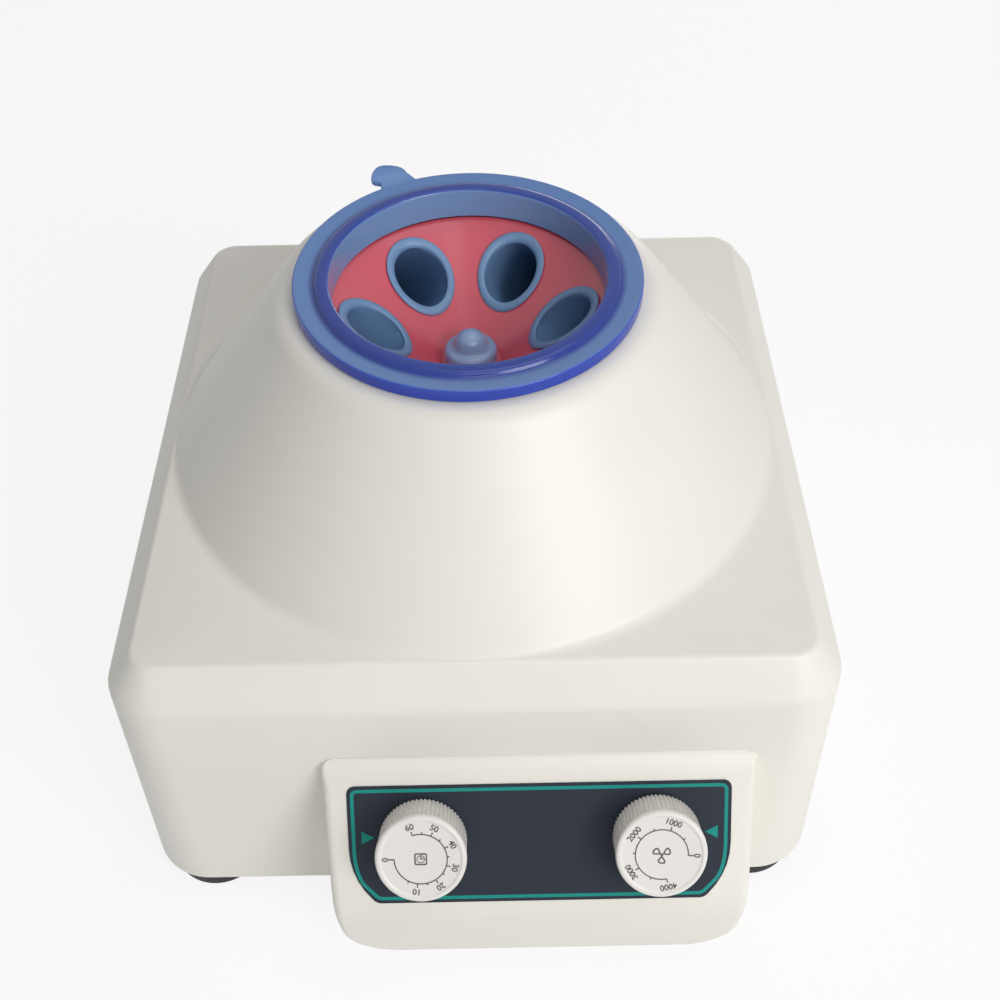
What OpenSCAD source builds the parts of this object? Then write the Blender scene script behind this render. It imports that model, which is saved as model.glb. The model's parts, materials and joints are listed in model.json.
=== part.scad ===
// Benchtop centrifuge: square moulded case with a cone on top, an open lid ring,
// a fixed-angle rotor with six tube sleeves, a console with two knobs and a motor inside.
// Millimetres, +Z up, the feet stand on z = 0, and the front faces -Y.

/* [Case] */
// Width of the flat deck round the cone
deck_w = 242; // [241:1:250]
// Width of the case just under the chamfer
waist_w = 263.4; // [260:0.2:270]
// Width of the case at its bottom edge
base_w = 271.4; // [268:0.2:280]
// Corner radius of the deck
deck_corner_r = 9.5; // [8:0.5:14]
// Height of the case from its bottom edge to the deck
body_h = 128; // [122:1:150]
// Height of the sloping band under the deck
chamfer_h = 14.5; // [10:0.5:18]
// Wall thickness of the moulding
wall = 3; // [2:0.1:4]
// Radius of the soft edges of the case
crease_r = 4; // [2:0.5:6]
// Radius of the screw pillars inside the case
pillar_r = 5.5; // [4.5:0.1:6.5]

/* [Cone] */
// Radius of the cone at the deck
cone_base_r = 120; // [116:0.5:120]
// Radius of the cone at its shoulder
shoulder_r = 70.5; // [69:0.5:74]
// Height of the shoulder above the deck
shoulder_h = 68.8; // [64:0.2:74]
// Rounding of the shoulder
shoulder_fillet = 7; // [3:0.5:8]
// Outer radius of the neck under the lid
neck_r = 61.5; // [60.5:0.1:62]
// Height of the neck above the shoulder
neck_h = 3.4; // [3:0.1:5]
// Radius of the mouth
mouth_r = 53.8; // [53.6:0.1:56]

/* [Lid] */
// Outer radius of the lid
lid_r = 64.5; // [64:0.1:66]
// Thickness of the lid's flange
lid_flange_t = 2.5; // [2:0.1:3.5]
// Gap between the lid and what it sits on
lid_gap = 0.2; // [0.1:0.05:0.4]
// Radius of the clear hole through the lid
lid_hole_r = 50.8; // [50.6:0.1:51.2]
// Thickness of the lid's inner wall
lid_wall_t = 2.2; // [1.6:0.1:2.4]
// Depth of the inner wall below the flange
lid_wall_h = 9.2; // [6:0.2:9.6]
// Height of the round ridge above the dished flange
ridge_h = 1.9; // [1:0.1:3]
// Depth of the dish in the flange
dish_h = 1.2; // [0.4:0.1:1.4]
// Width of the pull tab
tab_w = 18; // [14:1:26]
// Reach of the pull tab past the lid's edge
tab_reach = 10.5; // [8:0.5:18]
// Rise of the tab's curled tip
tab_rise = 3.5; // [2:0.5:8]
// Direction of the pull tab, anticlockwise from the right side
tab_azimuth = 115; // [90:1:180]

/* [Rotor] */
// Radius of the rotor's rim
rotor_rim_r = 53; // [52:0.2:53.2]
// Slope of the rotor's funnel from the horizontal
funnel_slope = 37; // [33:0.5:38]
// Radius of the circle through the sleeve mouths
sleeve_pitch_r = 35.6; // [34:0.2:36]
// Height of the sleeve mouths above the deck
sleeve_mouth_z = 49.1; // [46:0.1:50]
// Wall of the rotor's funnel
rotor_wall = 5; // [4:0.2:6]
// Radius of the rotor's hub
rotor_hub_r = 13; // [12:0.2:14]
// Depth of the hub below the deck
rotor_hub_drop = 18; // [12:0.5:18]
// Angle by which the rotor stands turned
rotor_phase = 3; // [0:1:30]
// Number of tube sleeves
sleeve_count = 6; // [6:1:6]
// Lean of the sleeves from the vertical
sleeve_lean = 45; // [42:1:46]
// Bore radius of a sleeve, for tubes of 16 to 17 mm
sleeve_bore_r = 8.75; // [8:0.05:9]
// Wall of a sleeve
sleeve_wall = 1.65; // [1.2:0.05:1.8]
// Length of a sleeve along its axis from the mouth
sleeve_len = 85; // [70:1:88]
// Radius of the sleeve's collar, seen from above
collar_r = 13.2; // [12.6:0.1:13.8]
// Radius of the sleeve's mouth, seen from above
collar_mouth_r = 9.5; // [9.2:0.1:10]
// Height of the collar above the funnel
collar_h = 1.6; // [1:0.1:2.4]
// Radius of the domed nut's flange
nut_flange_r = 10; // [9.5:0.1:10.5]
// Radius of the nut's dome
nut_dome_r = 6.5; // [6:0.1:7.6]
// Height of the nut
nut_h = 14; // [12.5:0.5:16]

/* [Console] */
// Width of the console
console_w = 159.5; // [154:0.5:166]
// Distance of the console's middle to the right of the case's middle
console_x = 22.4; // [0:0.2:26]
// Distance of the panel's top edge in front of the rotor axis
panel_reach = 140; // [139:0.5:143]
// Distance of the panel's top edge below the deck
panel_drop = 49.5; // [47:0.5:51]
// Lean of the panel from the vertical
panel_lean = 37; // [35:0.5:39]
// Length of the console's face above the panel
face_above = 6; // [4:0.5:7]
// Length of the console's face from the panel's top edge to the lower bend
face_below = 52; // [51:0.5:54]
// Set-back of the console's bottom edge from the bend
console_tuck = 2; // [0:0.5:4]
// Clearance of the console above the case's bottom edge
console_lift = 1.5; // [0.5:0.5:4]
// Rounding of the console's lower corners
console_corner_r = 19; // [12:1:24]
// Draw-in of each side of the console from its top to its bottom
console_draft = 2.5; // [0:0.5:4]
// Width of the panel sheet
panel_w = 140.6; // [136:0.2:144]
// Height of the panel sheet along the slope
panel_h = 46; // [44:0.2:48]
// Thickness of the panel sheet
panel_t = 0.8; // [0.6:0.1:1.2]
// Depth of the recess for the panel sheet
panel_recess = 0.4; // [0.2:0.1:0.6]

/* [Knobs] */
// Radius of a knob
knob_r = 16.4; // [14:0.2:18]
// Length of a knob
knob_len = 16.6; // [12:0.2:18]
// Distance of each knob to the side of the panel's middle
knob_offset = 42.7; // [38:0.1:46]
// Distance of the knobs below the panel's top edge
knob_drop = 20.6; // [20:0.2:23]
// Number of flutes round a knob
flute_count = 64; // [40:4:72]
// Depth of a flute
flute_depth = 0.5; // [0.3:0.1:0.8]
// Gap between the panel and a knob
knob_gap = 0.6; // [0.4:0.1:1]
// Radius of a control's shaft
control_shaft_r = 3; // [2.5:0.1:3.2]
// Radius of a control's threaded bush
control_bush_r = 4.8; // [4.4:0.1:5]

/* [Base] */
// Height of a foot
foot_h = 8.5; // [7:0.5:12]
// Radius of a foot
foot_r = 20.5; // [14:0.5:21]
// Distance of the feet to each side of the middle
foot_x = 111; // [100:0.5:112]
// Distance of the feet in front of and behind the rotor axis
foot_y = 115; // [108:0.5:116]
// Thickness of the base plate
base_t = 2; // [1.5:0.1:3]
// Shank radius of the case screws
screw_r = 2; // [1.5:0.1:2.2]

/* [Chamber] */
// Inner radius of the guard bowl
bowl_r = 107; // [104:0.5:107]
// Thickness of the bowl's sheet
bowl_t = 1.5; // [1:0.1:2]
// Depth of the bowl's floor below the deck
bowl_depth = 26; // [24:0.5:28]
// Room above the bowl's rim, up to the inside of the cone
bowl_rim_gap = 6; // [4:0.5:9]
// Length of the bosses that carry the bowl
bowl_boss_h = 10; // [6:0.5:12]

/* [Motor] */
// Radius of the motor's can
motor_r = 34; // [33:0.5:38]
// Wall of the motor's can
can_t = 2.5; // [2:0.1:3]
// Length of the can between the end bells
can_h = 36; // [32:1:40]
// Height of the lower end bell
lower_bell_h = 24; // [23:0.5:26]
// Height of the upper end bell
upper_bell_h = 14; // [13:0.5:16]
// Radius of the motor's shaft
shaft_r = 5; // [4.5:0.1:5.5]
// Radius of the shaft's thinner end in the rotor
spindle_r = 4; // [3:0.1:4.2]
// Running clearance of a shaft in its bearing, on the radius
run_fit = 0.05; // [0.02:0.01:0.08]
// Outer radius of a bearing
bearing_r = 11; // [10.5:0.1:12]
// Width of a bearing
bearing_w = 8; // [7:0.5:9]
// Radius of the armature
armature_r = 20; // [18:0.5:21]
// Air gap round the armature
air_gap = 0.6; // [0.4:0.1:1]
// Radius of the commutator
commutator_r = 11; // [10:0.5:12]
// Height of a rubber damper
damper_h = 14; // [11:0.5:16]
// Radius of a rubber damper
damper_r = 9; // [8:0.5:10]
// Distance of the dampers from the motor's axis, each way
damper_pitch = 45; // [42:1:48]
// Thickness of the motor bracket
bracket_t = 3; // [2.5:0.1:4]

/* [Electrics] */
// Distance of the power inlet to the right of the case's middle
inlet_x = 62; // [40:1:80]
// Height of the power inlet's middle above the case's bottom edge
inlet_z = 44; // [38:1:60]
// Width of the power inlet's body
inlet_w = 28; // [27:0.5:32]
// Height of the power inlet's body
inlet_h = 21; // [20:0.5:24]
// Length of the control board
board_l = 64; // [50:1:70]
// Width of the control board
board_w = 46; // [40:1:50]

/* [Hidden] */

$fn = 96;
// Segments in each drawn arc
arc_steps = 5;
// Overlap that makes a cut run past a face
cut = 1;
// Clearance between pieces of one assembly
fit = 0.1;
// Clearance on the radius of pieces that are pushed together
push_fit = 0.02;

cream = "#e6e2d8";
charcoal = "#333b48";
steel = "#b9bcc0";
dark_steel = "#6c7076";
rubber = "#1c1c1e";
red = "#d8434f";
sleeve_blue = "#6c8cb4";
lid_blue = [0.30, 0.45, 0.75, 0.7];
off_white = "#e4e0dc";
copper = "#b8763c";
black_plastic = "#26282b";

// Case levels and half widths
deck_half = deck_w / 2;
waist_half = waist_w / 2;
base_half = base_w / 2;
corner_c = deck_half - deck_corner_r;
deck_z = foot_h + body_h;
waist_z = deck_z - chamfer_h;
shoulder_z = deck_z + shoulder_h;
neck_top = shoulder_z + neck_h;
draft = atan((base_half - waist_half) / (waist_z - foot_h));
plate_top = foot_h + base_t;
// Half width of the skirt at a height
function skirt_half(z) = base_half - (base_half - waist_half) * (z - foot_h) / (waist_z - foot_h);

// Console and panel
panel_top_z = deck_z - panel_drop;
face_up = [-sin(panel_lean), cos(panel_lean)];
panel_top_point = [panel_reach, panel_top_z];
face_top_point = panel_top_point + face_above * face_up;
bend_point = panel_top_point - face_below * face_up;
console_bottom = foot_h + console_lift;
// Slope of the console's short top, as rise over run
console_top_slope = 0.6;
// Roundings of the console, from the bend under the panel to its edges
bend_r = 14;
console_top_r = 5;
console_foot_r = 4;
console_front_r = 8;
console_root = waist_half - 4 * wall;
console_front = bend_point.x;
knob_names = ["timer", "speed"];
knob_x = [console_x - knob_offset, console_x + knob_offset];

// Power inlet flange
inlet_flange_t = 2;
inlet_z0 = foot_h + inlet_z;
inlet_screw_r = 1.6;
inlet_head_h = 1.4;
inlet_grip = 4;
rear_end = max(base_half, skirt_half(inlet_z0) + inlet_flange_t + inlet_head_h);

// Knobs in the panel's frame
knob_low = panel_t - panel_recess + knob_gap;
knob_rim = 2.2;
knob_bevel = 0.5;
knob_front = panel_reach + (knob_drop + knob_r - knob_bevel) * sin(panel_lean)
    + (knob_low + knob_len) * cos(panel_lean);

// The box of the whole part is centred front to back
axis_y = (max(console_front, knob_front) - rear_end) / 2;

// Rotor levels
funnel_tan = tan(funnel_slope);
mouth_z = deck_z + sleeve_mouth_z;
function funnel_z(r) = mouth_z + (r - sleeve_pitch_r) * funnel_tan;
floor_gap = 1.5;
floor_r = nut_flange_r + floor_gap;
rotor_floor_z = funnel_z(floor_r);
hub_bottom_z = deck_z - rotor_hub_drop;
sleeve_r = sleeve_bore_r + sleeve_wall;
washer_t = 1.2;
washer_gap = 1;
nut_z = rotor_floor_z + washer_t;
spindle_top = nut_z + nut_h / 2;

// Motor levels
bracket_z = plate_top + damper_h;
motor_z = bracket_z + bracket_t;
can_z = motor_z + lower_bell_h;
upper_bell_z = can_z + can_h;
motor_top = upper_bell_z + upper_bell_h;
bell_floor = 2.5;
bell_wall = 4;
bracket_edge = 1;
bracket_half = damper_pitch + damper_r + bracket_edge;
lower_bearing_z = motor_z + bell_floor;
upper_bearing_z = motor_top - bell_floor - bearing_w;
brush_drop = 7;
brush_z = can_z - brush_drop;
commutator_h = 10;
tie_r = 2;
tie_out = 4;
tie_pitch = motor_r + tie_out;
motor_screw_r = 1.5;
bowl_floor_z = deck_z - bowl_depth;
boss_z = deck_z - wall - bowl_boss_h;
boss_reach = 19;
boss_pitch = bowl_r + bowl_t + boss_reach;
bowl_corner_r = 10;
bowl_hole_r = shaft_r + 6;
lug_half = 11;
lug_end = 7;
screw_head_h = 2.4;
bowl_grip = 7;

// Points helpers
function unit(v) = v / norm(v);
function xy(p) = [p[0], p[1]];
function corner_arc(a, b, c, r) =
    r <= 0 ? [b] :
    let (
        u = unit(a - b),
        w = unit(c - b),
        half = acos(u * w) / 2,
        m = b + unit(u + w) * r / sin(half),
        s = b + u * r / tan(half) - m,
        e = b + w * r / tan(half) - m,
        from = atan2(s.y, s.x),
        sweep = (atan2(e.y, e.x) - from + 540) % 360 - 180
    )
    [for (i = [0:arc_steps]) let (t = from + sweep * i / arc_steps) m + r * [cos(t), sin(t)]];
// Outline from points [x, y, corner radius]
function rounded(pts) =
    let (n = len(pts))
    [for (i = [0:n - 1])
        each corner_arc(xy(pts[(i + n - 1) % n]), xy(pts[i]), xy(pts[(i + 1) % n]), pts[i][2])];
// Same points moved inwards by g, for a list that runs anticlockwise
function inset(pts, g) =
    let (n = len(pts))
    [for (i = [0:n - 1])
        let (
            u = unit(xy(pts[i]) - xy(pts[(i + n - 1) % n])),
            w = unit(xy(pts[(i + 1) % n]) - xy(pts[i])),
            a = [-u.y, u.x],
            b = [-w.y, w.x],
            p = xy(pts[i]) + (a + b) * g / (1 + a * b)
        )
        [p.x, p.y, pts[i][2]]];

module on_axis() {
    translate([0, axis_y, 0]) children();
}

// Runs a profile of [outward, up] points round a square with round corners
module square_sweep(profile) {
    low = min([for (p = profile) p.y]);
    high = max([for (p = profile) p.y]);
    for (k = [0:3]) rotate(90 * k) {
        translate([-corner_c, corner_c, 0]) rotate([90, 0, 90])
            linear_extrude(2 * corner_c) polygon(profile);
        translate([corner_c, corner_c, 0]) rotate_extrude(angle = 90) polygon(profile);
    }
    translate([-corner_c, -corner_c, low]) cube([2 * corner_c, 2 * corner_c, high - low]);
}

function case_points(left, bottom) = [
    [left, bottom, 0],
    [skirt_half(bottom) - corner_c, bottom, 0],
    [waist_half - corner_c, waist_z, crease_r],
    [deck_half - corner_c, deck_z, crease_r],
    [left, deck_z, 0]
];
module case_outer() {
    square_sweep(rounded(case_points(0, foot_h)));
}
module case_inner() {
    square_sweep(rounded(inset(case_points(-wall, foot_h - wall - cut), wall)));
}

// Cone, neck and mouth as turned profiles
cone_tan = (cone_base_r - shoulder_r) / shoulder_h;
cone_inner_base_r = cone_base_r - wall * norm([1, cone_tan]);
bowl_top_z = deck_z + (cone_inner_base_r - bowl_r - bowl_t) / cone_tan - bowl_rim_gap;
neck_edge_r = 0.8;
module cone_outer() {
    rotate_extrude() polygon(rounded([
        [0, deck_z - cut, 0],
        [cone_base_r, deck_z - cut, 0],
        [cone_base_r, deck_z, 0],
        [shoulder_r, shoulder_z, shoulder_fillet],
        [neck_r, shoulder_z, 0],
        [neck_r, neck_top, neck_edge_r],
        [0, neck_top, 0]
    ]));
}
module cone_inner() {
    low = deck_z - 3 * wall;
    rotate_extrude() polygon(rounded(inset([
        [-wall, low, 0],
        [cone_base_r + cone_tan * (deck_z - low), low, 0],
        [shoulder_r, shoulder_z, shoulder_fillet],
        [-wall, shoulder_z, 0]
    ], wall)));
    translate([0, 0, deck_z]) cylinder(r = mouth_r, h = shoulder_h + neck_h + cut);
}

// Console outline seen from the side, as [distance in front of the axis, height]
function console_side(g) =
    let (
        rear_rise = console_top_slope * (face_top_point.x - console_root),
        pts = [
            [console_root, console_bottom, 0],
            [bend_point.x - console_tuck, console_bottom, console_foot_r],
            [bend_point.x, bend_point.y, bend_r],
            [face_top_point.x, face_top_point.y, console_top_r],
            [console_root, face_top_point.y + rear_rise, 0]
        ]
    )
    rounded(inset([for (p = pts) [p[0], p[1], max(p[2] - g, 0)]], g));
// Console outline seen from the front, round at its lower corners
function console_outline(g) =
    let (
        half = console_w / 2,
        low = half - console_draft,
        round_r = max(console_corner_r - g, 1)
    )
    rounded(inset([
        [-low, console_bottom, round_r],
        [low, console_bottom, round_r],
        [half, waist_z, 0],
        [-half, waist_z, 0]
    ], g));
// Console outline seen from above, round at its front corners
function console_plan(g) =
    let (
        half = console_w / 2,
        root = console_root - g,
        round_r = max(console_front_r - g, 1)
    )
    rounded(inset([
        [-half, -console_front - cut, round_r],
        [half, -console_front - cut, round_r],
        [half, -root, 0],
        [-half, -root, 0]
    ], g));
module console_solid(g) {
    translate([console_x, 0, 0]) intersection() {
        translate([-console_w, 0, 0]) mirror([0, 1, 0]) rotate([90, 0, 90])
            linear_extrude(2 * console_w) polygon(console_side(g));
        translate([0, -console_front / 2, 0]) rotate([90, 0, 0])
            linear_extrude(console_front) polygon(console_outline(g));
        linear_extrude(deck_z) polygon(console_plan(g));
    }
}

// Places children on the panel: x right, y up the slope, z out of the face
module on_panel(x, drop) {
    translate([x, -panel_reach, panel_top_z]) rotate([90 - panel_lean, 0, 0])
        translate([0, -drop, 0]) children();
}
// The panel's sides bend in a long curve to its lower edge
panel_low_rise = 10;
panel_side_draft = 0.2;
panel_low_inset = 9.8;
panel_top_r = 3;
panel_side_r = 29;
panel_low_r = 4;
function panel_outline(g) =
    let (
        half = panel_w / 2,
        side = half - panel_side_draft,
        bend = panel_low_rise - panel_h,
        low = half - panel_low_inset
    )
    rounded(inset([
        [-half, 0, panel_top_r],
        [-side, bend, panel_side_r],
        [-low, -panel_h, panel_low_r],
        [low, -panel_h, panel_low_r],
        [side, bend, panel_side_r],
        [half, 0, panel_top_r]
    ], g));

module at_pillars() {
    for (x = [-foot_x, foot_x], y = [-foot_y, foot_y]) translate([x, y, 0]) children();
}
module at_bosses() {
    for (k = [0:3]) rotate(45 + 90 * k) translate([boss_pitch, 0, 0]) children();
}
module at_inlet() {
    translate([inlet_x, skirt_half(inlet_z0) + push_fit, inlet_z0]) rotate([draft - 90, 0, 0]) children();
}
inlet_ear = 6;
inlet_screw_pitch = inlet_w / 2 + inlet_ear;

module housing_shell() {
    color(cream) on_axis() difference() {
        union() {
            difference() {
                union() {
                    case_outer();
                    cone_outer();
                    console_solid(0);
                }
                case_inner();
                cone_inner();
                console_solid(wall);
            }
            intersection() {
                case_outer();
                at_pillars() translate([0, 0, plate_top])
                    cylinder(r = pillar_r, h = body_h - base_t - wall / 2);
            }
            at_bosses() translate([0, 0, boss_z]) cylinder(r = pillar_r, h = bowl_boss_h + wall / 2);
        }
        at_pillars() translate([0, 0, foot_h]) cylinder(r = screw_r + fit, h = pillar_screw_depth + base_t);
        at_bosses() translate([0, 0, boss_z - cut]) cylinder(r = screw_r + fit, h = bowl_boss_h + cut - 1);
        on_panel(console_x, 0) translate([0, 0, -panel_recess])
            linear_extrude(panel_recess + wall) polygon(panel_outline(-fit));
        for (x = knob_x) on_panel(x, knob_drop) translate([0, 0, -2 * wall])
            cylinder(r = control_bush_r + fit, h = 3 * wall);
        at_inlet() {
            translate([-inlet_w / 2 - fit, -inlet_h / 2 - fit, -3 * wall])
                cube([inlet_w + 2 * fit, inlet_h + 2 * fit, 4 * wall]);
            for (s = [-1, 1]) translate([s * inlet_screw_pitch, 0, -3 * wall])
                cylinder(r = inlet_screw_r + fit, h = 4 * wall);
        }
    }
}

module guard_bowl() {
    color(steel) on_axis() {
        difference() {
            union() {
                rotate_extrude() polygon(rounded([
                    [bowl_hole_r, bowl_floor_z - bowl_t, 0],
                    [bowl_r + bowl_t, bowl_floor_z - bowl_t, bowl_corner_r + bowl_t],
                    [bowl_r + bowl_t, bowl_top_z, 0],
                    [bowl_r, bowl_top_z, 0],
                    [bowl_r, bowl_floor_z, bowl_corner_r],
                    [bowl_hole_r, bowl_floor_z, 0]
                ]));
                for (k = [0:3]) rotate(45 + 90 * k)
                    translate([bowl_r + bowl_t / 2, -lug_half, boss_z - bowl_t])
                        cube([boss_pitch - bowl_r + lug_end, 2 * lug_half, bowl_t]);
            }
            at_bosses() translate([0, 0, boss_z - bowl_t - cut])
                cylinder(r = screw_r + 2 * fit, h = bowl_t + 2 * cut);
        }
    }
}
module bowl_screws() {
    color(dark_steel) on_axis() at_bosses() {
        translate([0, 0, boss_z - bowl_t - screw_head_h]) cylinder(r = 2 * screw_r, h = screw_head_h);
        translate([0, 0, boss_z - bowl_t - cut]) cylinder(r = screw_r, h = bowl_t + cut + bowl_grip);
    }
}

module panel_overlay() {
    color(charcoal) on_axis() difference() {
        on_panel(console_x, 0) translate([0, 0, -panel_recess])
            linear_extrude(panel_t) polygon(panel_outline(0));
        for (x = knob_x) on_panel(x, knob_drop) translate([0, 0, -wall])
            cylinder(r = control_bush_r + fit, h = 3 * wall);
    }
}

// Base, feet and case screws
pillar_screw_depth = 14;
foot_recess_r = 2 * screw_r + 0.6;
foot_seat = 5.1;
foot_taper = 1.5;
foot_head_h = 2.5;
vent_rows = 4;
vent_pitch = 9;
vent_w = 40;
vent_slot = 3;
vent_margin = 8;
module base_plate() {
    half = base_half - wall - 3 * fit - tan(draft) * base_t;
    corner_r = half - corner_c;
    color(steel) on_axis() difference() {
        translate([0, 0, foot_h]) {
            translate([-half, -corner_c, 0]) cube([2 * half, 2 * corner_c, base_t]);
            translate([-corner_c, -half, 0]) cube([2 * corner_c, 2 * half, base_t]);
            for (x = [-1, 1], y = [-1, 1]) translate([x * corner_c, y * corner_c, 0])
                cylinder(r = corner_r, h = base_t);
        }
        at_pillars() translate([0, 0, foot_h - cut]) cylinder(r = screw_r + fit, h = base_t + 2 * cut);
        at_dampers() translate([0, 0, foot_h - cut]) cylinder(r = screw_r + fit, h = base_t + 2 * cut);
        for (i = [1:vent_rows])
            translate([-vent_w / 2, -bracket_half - vent_margin - vent_pitch * i, foot_h - cut])
                cube([vent_w, vent_slot, base_t + 2 * cut]);
        at_standoffs() translate([0, 0, foot_h - cut])
            cylinder(r = standoff_stud_r + fit, h = base_t + 2 * cut);
    }
}
module foot(x, y) {
    color(rubber) on_axis() translate([x, y, 0]) difference() {
        cylinder(r1 = foot_r - foot_taper, r2 = foot_r, h = foot_h);
        translate([0, 0, -cut]) cylinder(r = foot_recess_r, h = foot_seat + cut);
        cylinder(r = screw_r + fit, h = foot_h + cut);
    }
}
module foot_screws() {
    color(dark_steel) on_axis() at_pillars() {
        translate([0, 0, foot_seat - foot_head_h]) cylinder(r = 2 * screw_r, h = foot_head_h);
        translate([0, 0, foot_seat - cut])
            cylinder(r = screw_r, h = plate_top + pillar_screw_depth - foot_seat);
    }
}

// Motor mount on rubber dampers
damper_waist = 1.8;
damper_waist_r = 6;
damper_edge_r = 0.6;
damper_head_h = 2.6;
damper_places = [for (x = [-1, 1], y = [-1, 1]) [x * damper_pitch, y * damper_pitch]];
module at_dampers() {
    for (p = damper_places) translate([p.x, p.y, 0]) children();
}
module motor_bracket() {
    color(steel) on_axis() difference() {
        translate([-bracket_half, -bracket_half, bracket_z])
            cube([2 * bracket_half, 2 * bracket_half, bracket_t]);
        translate([0, 0, bracket_z - cut]) {
            at_dampers() cylinder(r = screw_r + fit, h = bracket_t + 2 * cut);
            at_motor_screws() cylinder(r = motor_screw_r + fit, h = bracket_t + 2 * cut);
        }
    }
}
module damper(i) {
    color(rubber) on_axis() translate([damper_places[i].x, damper_places[i].y, plate_top]) difference() {
        rotate_extrude() polygon(rounded([
            [0, 0, 0],
            [damper_r, 0, damper_edge_r],
            [damper_r - damper_waist, damper_h / 2, damper_waist_r],
            [damper_r, damper_h, damper_edge_r],
            [0, damper_h, 0]
        ]));
        translate([0, 0, -cut]) cylinder(r = screw_r + fit, h = damper_h + 2 * cut);
    }
}
module damper_screws() {
    color(dark_steel) on_axis() at_dampers() {
        translate([0, 0, motor_z]) cylinder(r = 2 * screw_r, h = damper_head_h);
        translate([0, 0, foot_h]) cylinder(r = screw_r, h = motor_z - foot_h + cut);
    }
}

// Motor
core_gap = 3;
core_h = can_h - 2 * core_gap;
ear_h = 6;
ear_wall = 3;
tie_head_h = 3;
tie_head_r = tie_r + 2;
motor_grip = 8;
motor_head_h = 2;
bearing_seat_r = bearing_r + 3;
shaft_gap = 0.5;
brush_gap = 0.3;
brush_out = 3;
module at_motor_screws() {
    for (k = [0:3]) rotate(45 + 90 * k) translate([motor_r - bell_wall / 2, 0, 0]) children();
}
module at_ties() {
    for (k = [0, 1]) rotate(90 + 180 * k) translate([tie_pitch, 0, 0]) children();
}
module motor_can() {
    color(dark_steel) on_axis() translate([0, 0, can_z]) difference() {
        cylinder(r = motor_r, h = can_h);
        translate([0, 0, -cut]) cylinder(r = motor_r - can_t, h = can_h + 2 * cut);
    }
}
module stator_core() {
    color("#8a8d90") on_axis() translate([0, 0, can_z + core_gap]) difference() {
        cylinder(r = motor_r - can_t - fit, h = core_h);
        translate([0, 0, -cut]) cylinder(r = armature_r + air_gap, h = can_h);
    }
}
module end_bell_bottom() {
    color("#9a9da1") on_axis() difference() {
        union() {
            translate([0, 0, motor_z]) cylinder(r = motor_r, h = lower_bell_h);
            at_ties() translate([0, 0, can_z - ear_h]) cylinder(r = tie_r + ear_wall, h = ear_h);
        }
        difference() {
            translate([0, 0, lower_bearing_z]) cylinder(r = motor_r - bell_wall, h = lower_bell_h);
            translate([0, 0, lower_bearing_z]) cylinder(r = bearing_seat_r, h = bearing_w);
        }
        translate([0, 0, lower_bearing_z]) cylinder(r = bearing_r + push_fit, h = lower_bell_h);
        for (s = [-1, 1]) brush_block(s, fit);
        at_ties() translate([0, 0, can_z - ear_h - cut]) cylinder(r = tie_r + fit, h = ear_h + 2 * cut);
        at_motor_screws() translate([0, 0, motor_z - cut])
            cylinder(r = motor_screw_r + fit, h = motor_grip + 2 * cut);
    }
}
module end_bell_top() {
    color("#9a9da1") on_axis() difference() {
        union() {
            translate([0, 0, upper_bell_z]) cylinder(r = motor_r, h = upper_bell_h);
            at_ties() translate([0, 0, upper_bell_z]) cylinder(r = tie_r + ear_wall, h = ear_h);
        }
        difference() {
            translate([0, 0, upper_bell_z - cut])
                cylinder(r = motor_r - bell_wall, h = upper_bell_h - bell_floor + cut);
            translate([0, 0, upper_bearing_z]) cylinder(r = bearing_seat_r, h = bearing_w);
        }
        translate([0, 0, upper_bell_z]) cylinder(r = bearing_r + push_fit, h = upper_bell_h - bell_floor);
        translate([0, 0, upper_bell_z]) cylinder(r = shaft_r + shaft_gap, h = upper_bell_h + cut);
        at_ties() translate([0, 0, upper_bell_z - cut]) cylinder(r = tie_r + fit, h = ear_h + 2 * cut);
    }
}
module tie_bolts() {
    color(dark_steel) on_axis() at_ties() {
        translate([0, 0, can_z - ear_h - tie_head_h]) cylinder(r = tie_head_r, h = tie_head_h, $fn = 6);
        translate([0, 0, can_z - ear_h - cut]) cylinder(r = tie_r, h = can_h + 2 * ear_h + 2 * cut);
        translate([0, 0, upper_bell_z + ear_h]) cylinder(r = tie_head_r, h = tie_head_h, $fn = 6);
    }
}
module motor_screws() {
    color(dark_steel) on_axis() at_motor_screws() {
        translate([0, 0, bracket_z - motor_head_h]) cylinder(r = 2 * motor_screw_r, h = motor_head_h);
        translate([0, 0, bracket_z - cut]) cylinder(r = motor_screw_r, h = bracket_t + cut + motor_grip);
    }
}
module bearing(z) {
    color("#c9ccd0") on_axis() translate([0, 0, z]) difference() {
        cylinder(r = bearing_r, h = bearing_w);
        translate([0, 0, -cut]) cylinder(r = shaft_r + run_fit, h = bearing_w + 2 * cut);
    }
}
// Brush holder block along X, grown by g
brush_w = 8;
brush_h = 7;
module brush_block(side, g) {
    inner = commutator_r + brush_gap;
    outer = motor_r + brush_out;
    translate([side > 0 ? inner : -outer, -brush_w / 2 - g, brush_z - brush_h / 2 - g])
        cube([outer - inner, brush_w + 2 * g, brush_h + 2 * g]);
}
module brush_holder(side) {
    color("#4a3b28") on_axis() brush_block(side, 0);
}
module motor_shaft() {
    color("#d5d7da") on_axis() {
        translate([0, 0, lower_bearing_z + shaft_gap])
            cylinder(r = shaft_r, h = hub_bottom_z - lower_bearing_z - shaft_gap);
        translate([0, 0, hub_bottom_z - cut]) cylinder(r = spindle_r, h = spindle_top - hub_bottom_z + cut);
    }
}
module armature() {
    color(copper) on_axis() translate([0, 0, can_z + core_gap]) difference() {
        cylinder(r = armature_r, h = core_h);
        translate([0, 0, -cut]) cylinder(r = shaft_r + push_fit, h = can_h);
    }
}
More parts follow.
